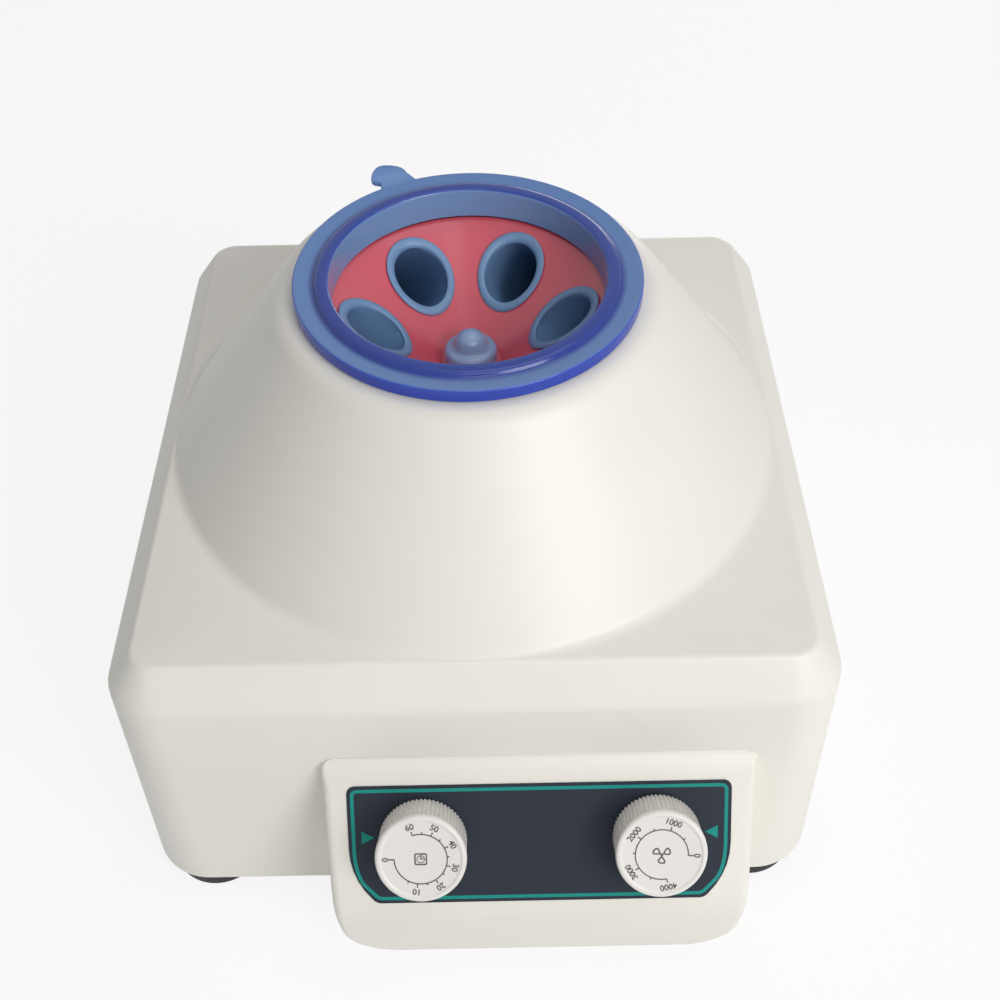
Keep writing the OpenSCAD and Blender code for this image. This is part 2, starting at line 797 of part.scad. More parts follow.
module commutator() {
    color(copper) on_axis() translate([0, 0, brush_z - commutator_h / 2]) difference() {
        cylinder(r = commutator_r, h = commutator_h);
        translate([0, 0, -cut]) cylinder(r = shaft_r + push_fit, h = commutator_h + 2 * cut);
    }
}

// Rotor, turned about the axis to where it stands
module on_rotor() {
    on_axis() rotate(rotor_phase) children();
}
module at_sleeve(i) {
    rotate(360 / sleeve_count * i) translate([sleeve_pitch_r, 0, mouth_z]) children();
}
module along_sleeve(i) {
    at_sleeve(i) rotate([0, 180 - sleeve_lean, 0]) children();
}
// Layer between two heights above the funnel's surface
module funnel_layer(low, high) {
    r0 = floor_r;
    r1 = rotor_rim_r + 2 * rotor_wall;
    rotate_extrude() polygon([
        [r0, funnel_z(r0) + low],
        [r1, funnel_z(r1) + low],
        [r1, funnel_z(r1) + high],
        [r0, funnel_z(r0) + high]
    ]);
}
rotor_edge_r = 1;
hub_root_r = 3;
module rotor() {
    depth = rotor_wall / cos(funnel_slope);
    color(red) on_rotor() difference() {
        rotate_extrude() polygon(rounded([
            [spindle_r + push_fit, hub_bottom_z, 0],
            [rotor_hub_r, hub_bottom_z, rotor_edge_r],
            [rotor_hub_r, funnel_z(rotor_hub_r) - depth, hub_root_r],
            [rotor_rim_r, funnel_z(rotor_rim_r) - depth, rotor_edge_r],
            [rotor_rim_r, funnel_z(rotor_rim_r), rotor_edge_r],
            [floor_r, rotor_floor_z, 0],
            [spindle_r + push_fit, rotor_floor_z, 0]
        ]));
        for (i = [0:sleeve_count - 1]) along_sleeve(i)
            translate([0, 0, -2 * sleeve_r]) cylinder(r = sleeve_r + fit, h = sleeve_len);
    }
}
collar_sink = 2;
module tube_sleeve(i) {
    tube_l = sleeve_len - sleeve_r;
    color(sleeve_blue) on_rotor() difference() {
        union() {
            difference() {
                along_sleeve(i) {
                    translate([0, 0, -2 * sleeve_r]) cylinder(r = sleeve_r, h = tube_l + 2 * sleeve_r);
                    translate([0, 0, tube_l]) sphere(r = sleeve_r);
                }
                funnel_layer(collar_h, 4 * sleeve_r);
            }
            intersection() {
                at_sleeve(i) translate([0, 0, -2 * collar_r]) cylinder(r = collar_r, h = 4 * collar_r);
                funnel_layer(fit, collar_h);
            }
        }
        along_sleeve(i) {
            translate([0, 0, -2 * sleeve_r - cut])
                cylinder(r = sleeve_bore_r, h = tube_l + 2 * sleeve_r + cut);
            translate([0, 0, tube_l]) sphere(r = sleeve_bore_r);
        }
        intersection() {
            at_sleeve(i) translate([0, 0, -2 * collar_r]) cylinder(r = collar_mouth_r, h = 4 * collar_r);
            funnel_layer(-collar_sink, 2 * collar_h);
        }
    }
}
module rotor_washer() {
    color(steel) on_rotor() translate([0, 0, rotor_floor_z]) difference() {
        cylinder(r = nut_flange_r - washer_gap, h = washer_t);
        translate([0, 0, -cut]) cylinder(r = spindle_r + fit, h = washer_t + 2 * cut);
    }
}
nut_flange_h = 2.6;
nut_edge_r = 1.2;
module rotor_nut() {
    dome_z = nut_h - nut_dome_r;
    color("#6f7fa6") on_rotor() translate([0, 0, nut_z]) difference() {
        union() {
            rotate_extrude() polygon(rounded([
                [0, 0, 0],
                [nut_flange_r, 0, 0],
                [nut_flange_r, nut_flange_h, nut_edge_r],
                [0, nut_flange_h, 0]
            ]));
            translate([0, 0, nut_flange_h])
                cylinder(r1 = nut_flange_r - nut_edge_r, r2 = nut_dome_r, h = dome_z - nut_flange_h);
            intersection() {
                translate([0, 0, dome_z]) sphere(r = nut_dome_r);
                cylinder(r = nut_flange_r, h = nut_h);
            }
        }
        translate([0, 0, -cut]) cylinder(r = spindle_r + push_fit, h = nut_h / 2 + fit + cut);
    }
}

// Controls behind the panel
control_w = 30;
control_depth = 24;
bush_out = 5.5;
nut_af_r = 7;
control_nut_h = 2.4;
shaft_cover = 4;
shaft_out = knob_len - shaft_cover;
// Step from the smooth rim of a knob down to its flutes
knob_lip = 0.3;
module control_body(i) {
    color(black_plastic) on_axis() on_panel(knob_x[i], knob_drop) difference() {
        union() {
            translate([-control_w / 2, -control_w / 2, -wall - control_depth])
                cube([control_w, control_w, control_depth - push_fit]);
            translate([0, 0, -wall - cut]) cylinder(r = control_bush_r, h = wall + cut + bush_out);
        }
        translate([0, 0, -wall - control_depth / 2])
            cylinder(r = control_shaft_r + run_fit, h = control_depth + bush_out);
    }
}
module control_shaft(i) {
    color("#d5d7da") on_axis() on_panel(knob_x[i], knob_drop)
        translate([0, 0, shaft_gap - wall - control_depth / 2])
            cylinder(r = control_shaft_r, h = wall + control_depth / 2 - shaft_gap + shaft_out);
}
module control_nuts() {
    color(steel) on_axis() for (x = knob_x) on_panel(x, knob_drop)
        translate([0, 0, panel_t - panel_recess]) difference() {
            cylinder(r = nut_af_r, h = control_nut_h, $fn = 6);
            translate([0, 0, -cut]) cylinder(r = control_bush_r + push_fit, h = control_nut_h + 2 * cut);
        }
}
// Fluted outline: each flute is a shallow notch between two lands
flute_shares = [0, 0.45, 0.6, 0.85];
function flute_outline(r) = [
    for (i = [0:flute_count - 1], s = [0:3])
        let (t = 360 / flute_count * (i + flute_shares[s]), d = s < 2 ? 0 : flute_depth)
        (r - d) * [cos(t), sin(t)]
];
module knob(i) {
    color(off_white) on_axis() on_panel(knob_x[i], knob_drop) translate([0, 0, knob_low]) difference() {
        union() {
            linear_extrude(knob_len - knob_rim) polygon(flute_outline(knob_r - knob_lip));
            translate([0, 0, knob_len - knob_rim])
                cylinder(r1 = knob_r, r2 = knob_r - knob_bevel, h = knob_rim);
        }
        translate([0, 0, -cut]) cylinder(r = nut_af_r + knob_gap, h = bush_out + cut);
        cylinder(r = control_shaft_r + push_fit, h = shaft_out - knob_low + fit);
    }
}

// Control board on standoffs, terminal block and power inlet
board_t = 1.6;
board_lift = 8;
board_margin = 15.7;
board_gap = 2;
board_place = [board_l / 2 + board_margin - base_half, bracket_half + board_gap + board_w / 2];
board_hole_inset = 5;
// Parts on the board as [x, y, width, depth, height] from its middle
board_blocks = [[2, -14, 18, 8, 24], [-4, 2, 20, 14, 14]];
capacitor = [-16, -6];
capacitor_r = 7;
capacitor_h = 22;
standoff_r = 3;
standoff_stud_r = 1.4;
standoff_stud_out = 2;
module at_standoffs() {
    for (x = [-1, 1], y = [-1, 1]) translate([
        board_place.x + x * (board_l / 2 - board_hole_inset),
        board_place.y + y * (board_w / 2 - board_hole_inset),
        0
    ]) children();
}
module control_board() {
    z = plate_top + board_lift;
    color("#2f6b3c") on_axis() difference() {
        translate([board_place.x, board_place.y, z]) {
            translate([-board_l / 2, -board_w / 2, 0]) cube([board_l, board_w, board_t]);
            translate([capacitor.x, capacitor.y, 0]) cylinder(r = capacitor_r, h = capacitor_h);
            for (b = board_blocks) translate([b[0], b[1], 0]) cube([b[2], b[3], b[4]]);
        }
        at_standoffs() translate([0, 0, z - cut])
            cylinder(r = standoff_stud_r + fit, h = board_t + 2 * cut);
    }
}
module board_standoffs() {
    color(steel) on_axis() at_standoffs() {
        translate([0, 0, foot_h]) cylinder(r = standoff_stud_r, h = base_t + cut);
        translate([0, 0, plate_top]) cylinder(r = standoff_r, h = board_lift, $fn = 6);
        translate([0, 0, plate_top + board_lift - cut])
            cylinder(r = standoff_stud_r, h = board_t + cut + standoff_stud_out);
    }
}
terminal_ways = 4;
terminal_pitch = 11;
terminal_d = 17;
terminal_h = 13;
terminal_hole_r = 3;
terminal_floor = 5;
terminal_margin = 50;
module terminal_block() {
    w = terminal_ways * terminal_pitch;
    color("#e8e6e0") on_axis()
        translate([inlet_x - w / 2, base_half - terminal_margin - terminal_d, plate_top]) difference() {
            cube([w, terminal_d, terminal_h]);
            for (i = [0:terminal_ways - 1])
                translate([terminal_pitch * (i + 0.5), terminal_d / 2, terminal_floor])
                    cylinder(r = terminal_hole_r, h = terminal_h);
        }
}
// Inlet body, its well and the three pins that stand in it
inlet_d = 24;
inlet_lip = 2;
inlet_wall = 2;
well_w = inlet_w - 2 * inlet_wall;
well_h = inlet_h - 2 * inlet_wall - 0.6;
well_d = 20;
pin_w = 2;
pin_h = 4;
pin_l = 16;
pin_places = [[-7, -2], [0, 2], [7, -2]];
module power_inlet() {
    color(black_plastic) on_axis() at_inlet() difference() {
        union() {
            translate([-inlet_w / 2, -inlet_h / 2, -inlet_d]) cube([inlet_w, inlet_h, inlet_d + cut]);
            translate([-inlet_screw_pitch, -inlet_h / 2 - inlet_lip, 0])
                cube([2 * inlet_screw_pitch, inlet_h + 2 * inlet_lip, inlet_flange_t]);
            for (s = [-1, 1]) translate([s * inlet_screw_pitch, 0, 0])
                cylinder(r = inlet_ear, h = inlet_flange_t);
        }
        difference() {
            translate([-well_w / 2, -well_h / 2, inlet_flange_t - well_d])
                cube([well_w, well_h, well_d + cut]);
            for (p = pin_places)
                translate([p.x - pin_w / 2, p.y - pin_h / 2, inlet_flange_t - well_d - cut])
                    cube([pin_w, pin_h, pin_l]);
        }
        for (s = [-1, 1]) translate([s * inlet_screw_pitch, 0, -cut])
            cylinder(r = inlet_screw_r + fit, h = inlet_flange_t + 2 * cut);
    }
}
module inlet_screws() {
    color(dark_steel) on_axis() at_inlet() for (s = [-1, 1]) translate([s * inlet_screw_pitch, 0, 0]) {
        translate([0, 0, inlet_flange_t])
            cylinder(r1 = 2.1 * inlet_screw_r, r2 = 1.5 * inlet_screw_r, h = inlet_head_h);
        translate([0, 0, -wall - inlet_grip])
            cylinder(r = inlet_screw_r, h = wall + inlet_grip + inlet_flange_t);
    }
}

// Lid ring with ridge, inner wall, skirt and pull tab
ridge_w = 4.8;
skirt_gap = 0.5;
skirt_clear = 0.7;
skirt_in_r = neck_r + skirt_clear;
lid_z = neck_top + lid_gap;
lid_edge_r = 0.8;
rim_edge_r = 1.2;
ridge_edge_r = 1.4;
ridge_draft = 0.8;
dish_run = 2.4;
dish_z = lid_flange_t - dish_h;
module lid_profile() {
    rotate_extrude() polygon(rounded([
        [lid_hole_r + lid_wall_t, -lid_wall_h, lid_edge_r],
        [lid_hole_r + lid_wall_t, 0, 0],
        [skirt_in_r, 0, 0],
        [skirt_in_r, skirt_gap - neck_h, 0],
        [lid_r, skirt_gap - neck_h, lid_edge_r],
        [lid_r, lid_flange_t, rim_edge_r],
        [lid_hole_r + ridge_w + dish_run, dish_z, 0],
        [lid_hole_r + ridge_w, dish_z, 0],
        [lid_hole_r + ridge_w - ridge_draft, dish_z + ridge_h, ridge_edge_r],
        [lid_hole_r + ridge_draft / 4, dish_z + ridge_h, ridge_edge_r],
        [lid_hole_r, -lid_wall_h, lid_edge_r]
    ]));
}
// The tab starts inside the rim, bends upwards and ends in a round tip
tab_t = 2.2;
tab_root = 3;
tab_bend = 0.4 * tab_reach;
tab_bend_r = 6;
tab_tip_r = 0.6;
tab_corner_r = tab_w / 2 - 2.5;
module pull_tab() {
    tip = lid_r + tab_reach;
    root = lid_r - tab_root;
    rotate(tab_azimuth) intersection() {
        translate([0, tab_w / 2, 0]) rotate([90, 0, 0]) linear_extrude(tab_w) polygon(rounded([
            [root, 0, 0],
            [lid_r + tab_bend, 0, tab_bend_r],
            [tip, tab_rise - tab_t / 2, tab_tip_r],
            [tip - tab_tip_r, tab_rise + tab_t / 2, tab_tip_r],
            [lid_r + tab_bend - tab_tip_r, tab_t, tab_bend_r - tab_tip_r],
            [root, tab_t, 0]
        ]));
        translate([0, 0, -cut]) linear_extrude(tab_rise + 3 * tab_t) polygon(rounded([
            [root - cut, -tab_w / 2, 0],
            [tip + cut, -tab_w / 2, tab_corner_r],
            [tip + cut, tab_w / 2, tab_corner_r],
            [root - cut, tab_w / 2, 0]
        ]));
    }
}
module lid_ring() {
    color(lid_blue) on_axis() translate([0, 0, lid_z]) {
        lid_profile();
        pull_tab();
    }
}

housing_shell();
guard_bowl();
bowl_screws();
panel_overlay();
base_plate();
foot(-foot_x, -foot_y);  // foot_front_left
foot(foot_x, -foot_y);  // foot_front_right
foot(-foot_x, foot_y);  // foot_rear_left
foot(foot_x, foot_y);  // foot_rear_right
foot_screws();
motor_bracket();
for (i = [0:3]) damper(i);
damper_screws();
motor_can();
stator_core();
end_bell_top();
end_bell_bottom();
tie_bolts();
motor_screws();
bearing(upper_bearing_z);  // upper_bearing
bearing(lower_bearing_z);  // lower_bearing
brush_holder(-1);  // brush_holder_left
brush_holder(1);  // brush_holder_right
motor_shaft();
armature();
commutator();
rotor();
rotor_washer();
rotor_nut();
for (i = [0:sleeve_count - 1]) tube_sleeve(i);
for (i = [0:1]) {
    control_body(i);
    control_shaft(i);
    knob(i);
}
control_nuts();
control_board();
board_standoffs();
terminal_block();
power_inlet();
inlet_screws();
lid_ring();
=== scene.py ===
# %% [markdown]
# A small benchtop centrifuge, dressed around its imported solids.
# The solids already hold every piece at its real size and place, so this file only gives the finish.
# Pieces whose look needs softer edges or finer detail are modelled again here and stand for their solid;
# all the others keep their solid and get a material. Everything stays in the solids' frame.

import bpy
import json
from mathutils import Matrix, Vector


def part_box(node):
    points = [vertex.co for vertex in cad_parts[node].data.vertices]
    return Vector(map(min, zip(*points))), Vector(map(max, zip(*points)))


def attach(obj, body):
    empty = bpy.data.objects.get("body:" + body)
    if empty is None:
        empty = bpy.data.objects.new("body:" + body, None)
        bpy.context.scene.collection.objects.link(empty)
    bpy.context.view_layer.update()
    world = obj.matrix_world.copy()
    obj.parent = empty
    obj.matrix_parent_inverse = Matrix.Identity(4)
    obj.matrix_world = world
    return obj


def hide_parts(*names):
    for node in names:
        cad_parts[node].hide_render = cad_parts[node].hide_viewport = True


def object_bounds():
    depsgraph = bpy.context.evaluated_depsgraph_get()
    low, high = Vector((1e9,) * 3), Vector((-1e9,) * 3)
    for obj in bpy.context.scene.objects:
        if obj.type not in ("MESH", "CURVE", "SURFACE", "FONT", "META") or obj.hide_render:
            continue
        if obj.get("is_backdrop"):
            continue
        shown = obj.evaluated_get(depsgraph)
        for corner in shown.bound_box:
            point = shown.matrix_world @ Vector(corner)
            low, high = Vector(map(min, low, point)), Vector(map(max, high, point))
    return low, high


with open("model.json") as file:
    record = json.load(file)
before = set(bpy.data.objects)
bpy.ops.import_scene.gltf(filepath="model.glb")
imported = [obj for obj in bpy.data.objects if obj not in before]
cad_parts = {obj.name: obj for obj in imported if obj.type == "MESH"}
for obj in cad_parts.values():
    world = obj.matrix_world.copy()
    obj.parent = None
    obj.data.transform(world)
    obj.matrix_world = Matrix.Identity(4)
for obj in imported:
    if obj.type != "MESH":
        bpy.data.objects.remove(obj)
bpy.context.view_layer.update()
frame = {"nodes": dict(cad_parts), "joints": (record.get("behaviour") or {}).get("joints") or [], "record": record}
print("solids:", len(frame["nodes"]))

# %% [markdown]
# Sizes below are written in millimetres, as on a drawing, and one factor turns them to metres when a mesh
# is made. Places come from the frame: the joints say where the rotor and the knobs turn, and the boxes of
# the solids say where the case and the lid begin and end.

# %% Places taken from the frame
import json
import math

import bmesh
import bpy
from mathutils import Matrix, Vector

MM = 0.001
scene = bpy.context.scene
joints = {joint["name"]: joint for joint in frame["joints"]}


def in_mm(point):
    return Vector(point) / MM


def box_mm(node):
    low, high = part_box(node)
    return in_mm(low), in_mm(high)


axis = in_mm(joints["rotor_spin"]["pos_m"])
timer_at = in_mm(joints["timer_turn"]["pos_m"])
speed_at = in_mm(joints["speed_turn"]["pos_m"])
panel_out = -Vector(joints["timer_turn"]["axis"])
panel_right = Vector((1, 0, 0))
panel_up = panel_out.cross(panel_right)
case_low, case_high = box_mm("housing_shell")
deck_z = axis.z
print("rotor axis:", axis[:], "panel faces:", [round(v, 3) for v in panel_out])

# %% [markdown]
# Most pieces here are turned or swept, so rings of points are the natural way to write them. One helper
# eases the corners of a path, because every edge that a mould rounds is a key point with its easing.
# Another joins rings to a skin. A bevel modifier could round the edges too, but it can't give each edge
# of a profile its own radius.

# %% Paths and skins
EASE_SHARE = 0.48  # an easing takes at most this share of the side that it lies on


def eased(keys, closed=True, steps=5):
    """Points along a path; each key is (point, length eased on either side of it)."""
    points = []
    for i, (place, ease) in enumerate(keys):
        here = Vector(place)
        at_end = not closed and i in (0, len(keys) - 1)
        if ease == 0 or at_end:
            points.append(here)
            continue
        back = Vector(keys[i - 1][0]) - here
        ahead = Vector(keys[(i + 1) % len(keys)][0]) - here
        start = here + back.normalized() * min(ease, EASE_SHARE * back.length)
        end = here + ahead.normalized() * min(ease, EASE_SHARE * ahead.length)
        for k in range(steps + 1):
            t = k / steps
            points.append(start * (1 - t) ** 2 + here * 2 * t * (1 - t) + end * t ** 2)
    return points


def skin(rings, wrap=False):
    """Points and faces that join closed rings of equal length, and the last to the first if wrapped."""
    size = len(rings[0])
    points = [point for ring in rings for point in ring]
    faces = []
    for a in range(len(rings) if wrap else len(rings) - 1):
        b = (a + 1) % len(rings)
        for i in range(size):
            j = (i + 1) % size
            faces.append((a * size + i, a * size + j, b * size + j, b * size + i))
    return points, faces


def block(low, high):
    """Points and faces of a box between two corners."""
    points = [(x, y, z) for z in (low[2], high[2]) for y in (low[1], high[1]) for x in (low[0], high[0])]
    return points, [(0, 2, 3, 1), (4, 5, 7, 6), (0, 1, 5, 4), (2, 6, 7, 3), (0, 4, 6, 2), (1, 3, 7, 5)]


def full_turn(steps):
    return [math.tau * k / steps for k in range(steps)]


def quarter_turn(steps):
    return [math.pi / 2 * k / steps for k in range(steps + 1)]


def circle_points(r, z, turns):
    return [(r * math.cos(t), r * math.sin(t), z) for t in turns]


# %% [markdown]
# Points become a piece in one place, so that every piece gets the same care: doubles merged, faces turned
# outwards, soft shading over gentle edges. A finished piece keeps its object at the origin and has its
# place in its mesh, which is why pieces are settled by moving their points.

# %% Pieces
MERGE = 0.002  # points nearer than this are one
SOFT_ANGLE = 32  # degrees up to which two faces shade as one surface


def new_object(name, data):
    thing = bpy.data.objects.new(name, data)
    scene.collection.objects.link(thing)
    return thing


def soften(mesh):
    mesh.shade_smooth()
    mesh.set_sharp_from_angle(angle=math.radians(SOFT_ANGLE))
    return mesh


def cleaned(mesh):
    """Merges doubles, turns faces outwards and shades softly."""
    work = bmesh.new()
    work.from_mesh(mesh)
    bmesh.ops.remove_doubles(work, verts=work.verts, dist=MERGE * MM)
    bmesh.ops.recalc_face_normals(work, faces=work.faces)
    work.to_mesh(mesh)
    work.free()
    return soften(mesh)


def add_piece(name, points, faces, finish):
    mesh = bpy.data.meshes.new(name)
    mesh.from_pydata([Vector(point) * MM for point in points], [], faces)
    mesh.materials.append(finish)
    return new_object(name, cleaned(mesh))


def turned(name, profile, finish, closed=True, steps=160):
    """A piece turned about its own upright axis from a profile of (radius, height) points."""
    rings = [circle_points(r, z, full_turn(steps)) for r, z in profile]
    return add_piece(name, *skin(rings, wrap=closed), finish)


def settle(piece, matrix):
    """Puts a piece in place by moving its mesh, so that its object stays at the origin."""
    piece.data.transform(matrix)
    return piece


def onto_axis(z=0.0):
    return Matrix.Translation(Vector((axis.x, axis.y, z)) * MM)


def onto_panel(at):
    """From a flat layout (right, up, out) to a place on the sloping panel."""
    turn = Matrix((panel_right, panel_up, panel_out)).transposed().to_4x4()
    return Matrix.Translation(Vector(at) * MM) @ turn


# %% [markdown]
# Materials and node trees are both graphs, so one function adds a node to either: it sets the node's
# options, then fills each input with a value or with a link. Colours are written as hex values the way
# a paint card gives them, and turned to the linear values that shaders work in.

# %% Nodes and colours
WHITE = (1, 1, 1, 1)
MIX_A = 6  # the mix node has sockets for numbers, vectors and colours; these are its colours
MIX_B = 7
MIX_RESULT = 2


def linear(colour):
    """A hex sRGB colour as linear red, green, blue and alpha."""
    values = [int(colour[i:i + 2], 16) / 255 for i in (1, 3, 5)]
    toned = [v / 12.92 if v <= 0.04045 else ((v + 0.055) / 1.055) ** 2.4 for v in values]
    return (*toned, 1.0)


def add_node(tree, kind, options=None, inputs=None):
    node = tree.nodes.new(kind)
    for name, value in (options or {}).items():
        setattr(node, name, value)
    for name, value in (inputs or {}).items():
        if isinstance(value, bpy.types.NodeSocket):
            tree.links.new(value, node.inputs[name])
        else:
            node.inputs[name].default_value = value
    return node


def new_material(name):
    material = bpy.data.materials.new(name)
    material.use_nodes = True
    material.node_tree.nodes.clear()
    return material, material.node_tree


def per_mm(size):
    """Scale of a noise whose features are about this many millimetres wide."""
    return 1 / (size * MM)


# %% [markdown]
# The camera stands where the photograph's camera stood: a little above the front, looking down at 47.5
# degrees and rolled by one degree. Its place is given from the rotor's axis and the deck, which both show
# clearly in the picture.

# %% Camera
LENS_MM = 46.79
SENSOR_MM = 36.0
NEAR_CLIP = 0.01
CAMERA_AT = Vector((10.2, axis.y - 383.7, deck_z + 369.3)) * MM
LOOK_DOWN = math.radians(47.5)
ROLL = math.radians(-1.1)

camera_data = bpy.data.cameras.new("camera")
camera_data.lens = LENS_MM
camera_data.sensor_width = SENSOR_MM
camera_data.clip_start = NEAR_CLIP
camera = new_object("camera", camera_data)
tilt = Matrix.Rotation(math.pi / 2 - LOOK_DOWN, 4, "X")
camera.matrix_world = Matrix.Translation(CAMERA_AT) @ tilt @ Matrix.Rotation(ROLL, 4, "Z")
scene.camera = camera
scene.view_settings.view_transform = "Standard"
print("camera at:", [round(v, 3) for v in CAMERA_AT])

# %% [markdown]
# The stage is a pale paper floor in a white surround, as in a product picture. More light would whiten
# the floor too, but it would bleach the case, so the paper glows a little for the rays that show it, and
# a share of plain paper keeps the shadow.

# %% Floor and surround
PAPER_GLOW = 0.84
PAPER_ROUGH = 0.9
SURROUND_LIGHT = 0.25
FLOOR_HALF = 4000


def surround_share(tree):
    """One for the rays that show the surround: straight, by gloss or through clear plastic."""
    path = add_node(tree, "ShaderNodeLightPath")
    straight = add_node(tree, "ShaderNodeMath", {"operation": "MAXIMUM"},
                        {0: path.outputs["Is Camera Ray"], 1: path.outputs["Is Transmission Ray"]})
    shown = add_node(tree, "ShaderNodeMath", {"operation": "MAXIMUM"},
                     {0: straight.outputs[0], 1: path.outputs["Is Glossy Ray"]})
    return shown.outputs[0]


floor_paper, tree = new_material("White paper sweep")
paper = add_node(tree, "ShaderNodeBsdfPrincipled", None,
                 {"Base Color": linear("#f6f6f5"), "Roughness": PAPER_ROUGH})
glow = add_node(tree, "ShaderNodeEmission", None, {"Color": WHITE, "Strength": 1.0})
share = add_node(tree, "ShaderNodeMath", {"operation": "MULTIPLY"},
                 {0: surround_share(tree), 1: PAPER_GLOW})
sweep = add_node(tree, "ShaderNodeMixShader", None,
                 {0: share.outputs[0], 1: paper.outputs[0], 2: glow.outputs[0]})
add_node(tree, "ShaderNodeOutputMaterial", None, {"Surface": sweep.outputs[0]})
corners = [(-FLOOR_HALF, -FLOOR_HALF, 0), (FLOOR_HALF, -FLOOR_HALF, 0),
           (FLOOR_HALF, FLOOR_HALF, 0), (-FLOOR_HALF, FLOOR_HALF, 0)]
floor = add_piece("floor", corners, [(0, 1, 2, 3)], floor_paper)
floor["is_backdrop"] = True

world = bpy.data.worlds.new("white surround")
world.use_nodes = True
scene.world = world
tree = world.node_tree
tree.nodes.clear()
lit = add_node(tree, "ShaderNodeBackground", None,
               {"Color": linear("#fbfcff"), "Strength": SURROUND_LIGHT})
white = add_node(tree, "ShaderNodeBackground", None, {"Color": WHITE, "Strength": 1.0})
shown = add_node(tree, "ShaderNodeMixShader", None,
                 {0: surround_share(tree), 1: lit.outputs[0], 2: white.outputs[0]})
add_node(tree, "ShaderNodeOutputWorld", None, {"Surface": shown.outputs[0]})
print("floor and surround made")

# %% [markdown]
# Four soft lamps light the object. The key lamp stands in front to the right, so the left of the case
# falls into a soft shade. A weaker one beside the camera reaches into the sleeves, one overhead evens the
# deck, and one behind lights the back for the other views.

# %% Lamps
LAMPS = [  # name, place in metres, size in metres, power in watts
    ("key_right", (0.85, -1.1, 0.95), 0.8, 14.2),
    ("front", (0.1, -1.1, 1.35), 0.5, 3.0),
    ("top", (0.3, 0.2, 1.7), 1.0, 4.6),
    ("rear", (0.45, 1.6, 0.3), 0.6, 4.0),
]
LAMP_AIM = Vector((0, 0, 0.1))

for name, at, size, power in LAMPS:
    lamp = bpy.data.lights.new(name, "AREA")
    lamp.size = size
    lamp.energy = power
    holder = new_object(name, lamp)
    holder.location = at
    holder.rotation_euler = (LAMP_AIM - Vector(at)).to_track_quat("-Z", "Y").to_euler()
    holder.visible_camera = False
print("lamps:", len(LAMPS))

# %% [markdown]
# Plastics first. The case is moulded ABS in cream: satin, with the fine spark-eroded grain of its mould
# and a faint unevenness of tone. The same recipe with other numbers gives the knobs, the red rotor, the
# sleeves, the nut, the inks and the black mouldings. The grain of a real mould is about 0.1 mm, too fine
# to show here, so it is drawn near half a millimetre.

# %% Recipe for moulded plastics
DRIFT = 60  # width of the clouds of tone
GRAIN_STRENGTH = 0.35
SATIN_SPREAD = 0.06  # how far the roughness strays to either side
PLASTIC_IOR = 1.53


def moulded(name, colour, shade, roughness, grain=0.5, depth=0.02, gloss=0.5):
    """Moulded plastic whose tone drifts between two hex colours, with a mould's grain."""
    material, tree = new_material(name)
    place = add_node(tree, "ShaderNodeTexCoord")
    drift = add_node(tree, "ShaderNodeTexNoise", None,
                     {"Vector": place.outputs["Object"], "Scale": per_mm(DRIFT), "Detail": 3.0})
    tone = add_node(tree, "ShaderNodeMix", {"data_type": "RGBA"},
                    {"Factor": drift.outputs[0], MIX_A: linear(colour), MIX_B: linear(shade)})
    pores = add_node(tree, "ShaderNodeTexNoise", None,
                     {"Vector": place.outputs["Object"], "Scale": per_mm(grain), "Detail": 2.0})
    bump = add_node(tree, "ShaderNodeBump", None,
                    {"Strength": GRAIN_STRENGTH, "Distance": depth * MM, "Height": pores.outputs[0]})
    rough = add_node(tree, "ShaderNodeMapRange", None,
                     {"Value": pores.outputs[0],
                      "To Min": roughness - SATIN_SPREAD, "To Max": roughness + SATIN_SPREAD})
    coat = add_node(tree, "ShaderNodeBsdfPrincipled", None,
                    {"Base Color": tone.outputs[MIX_RESULT], "Roughness": rough.outputs[0],
                     "Normal": bump.outputs[0], "Specular IOR Level": gloss, "IOR": PLASTIC_IOR})
    add_node(tree, "ShaderNodeOutputMaterial", None, {"Surface": coat.outputs[0]})
    return material


# %% [markdown]
# Each plastic is named for what it is on the real machine. Its two hex colours are close together, so the
# eye takes them for one colour that isn't quite even, as a real moulding is.

# %% Plastics and inks
# Satin cream with a wide soft highlight
cream_abs = moulded("Moulded ABS, cream", "#e9e6de", "#e3dfd5", 0.42)
# Whiter and a little shinier, so the rim of a knob catches the light
white_abs = moulded("Moulded ABS, off-white", "#e6e3de", "#dfdbd6", 0.34, grain=0.4, depth=0.005)
# Shiny red, with a clear sheen on the slope of the funnel
red_pp = moulded("Polypropylene, red", "#d45766", "#ca4f5f", 0.22, grain=0.8, depth=0.01)
# Waxy blue-grey
blue_pp = moulded("Polypropylene, blue-grey", "#6f92b8", "#6688ae", 0.42, grain=0.6, depth=0.01)
# Pale slate, polished enough for a bright spot on the dome
slate_nylon = moulded("Nylon, slate blue", "#95aed6", "#8ba4cc", 0.24, grain=0.6, depth=0.01)
# Dull black, a little broken up by its glass
black_nylon = moulded("Glass-filled nylon, black", "#232427", "#1d1e20", 0.45, grain=0.5)
# Matt black that hardly takes a highlight
rubber = moulded("Nitrile rubber, black", "#1b1b1d", "#232326", 0.72, grain=0.7, depth=0.04, gloss=0.3)
# Milky white, satin
terminal_nylon = moulded("Nylon, natural white", "#e6e4dc", "#dcd9cf", 0.4)
# Brown and dull
phenolic = moulded("Phenolic moulding, brown", "#4a3a28", "#3c2f20", 0.5)
# Green under a lacquer, uneven like the cloth inside it
board_resin = moulded("Glass-epoxy board, green", "#2f6b3c", "#285f34", 0.4, grain=1.2)
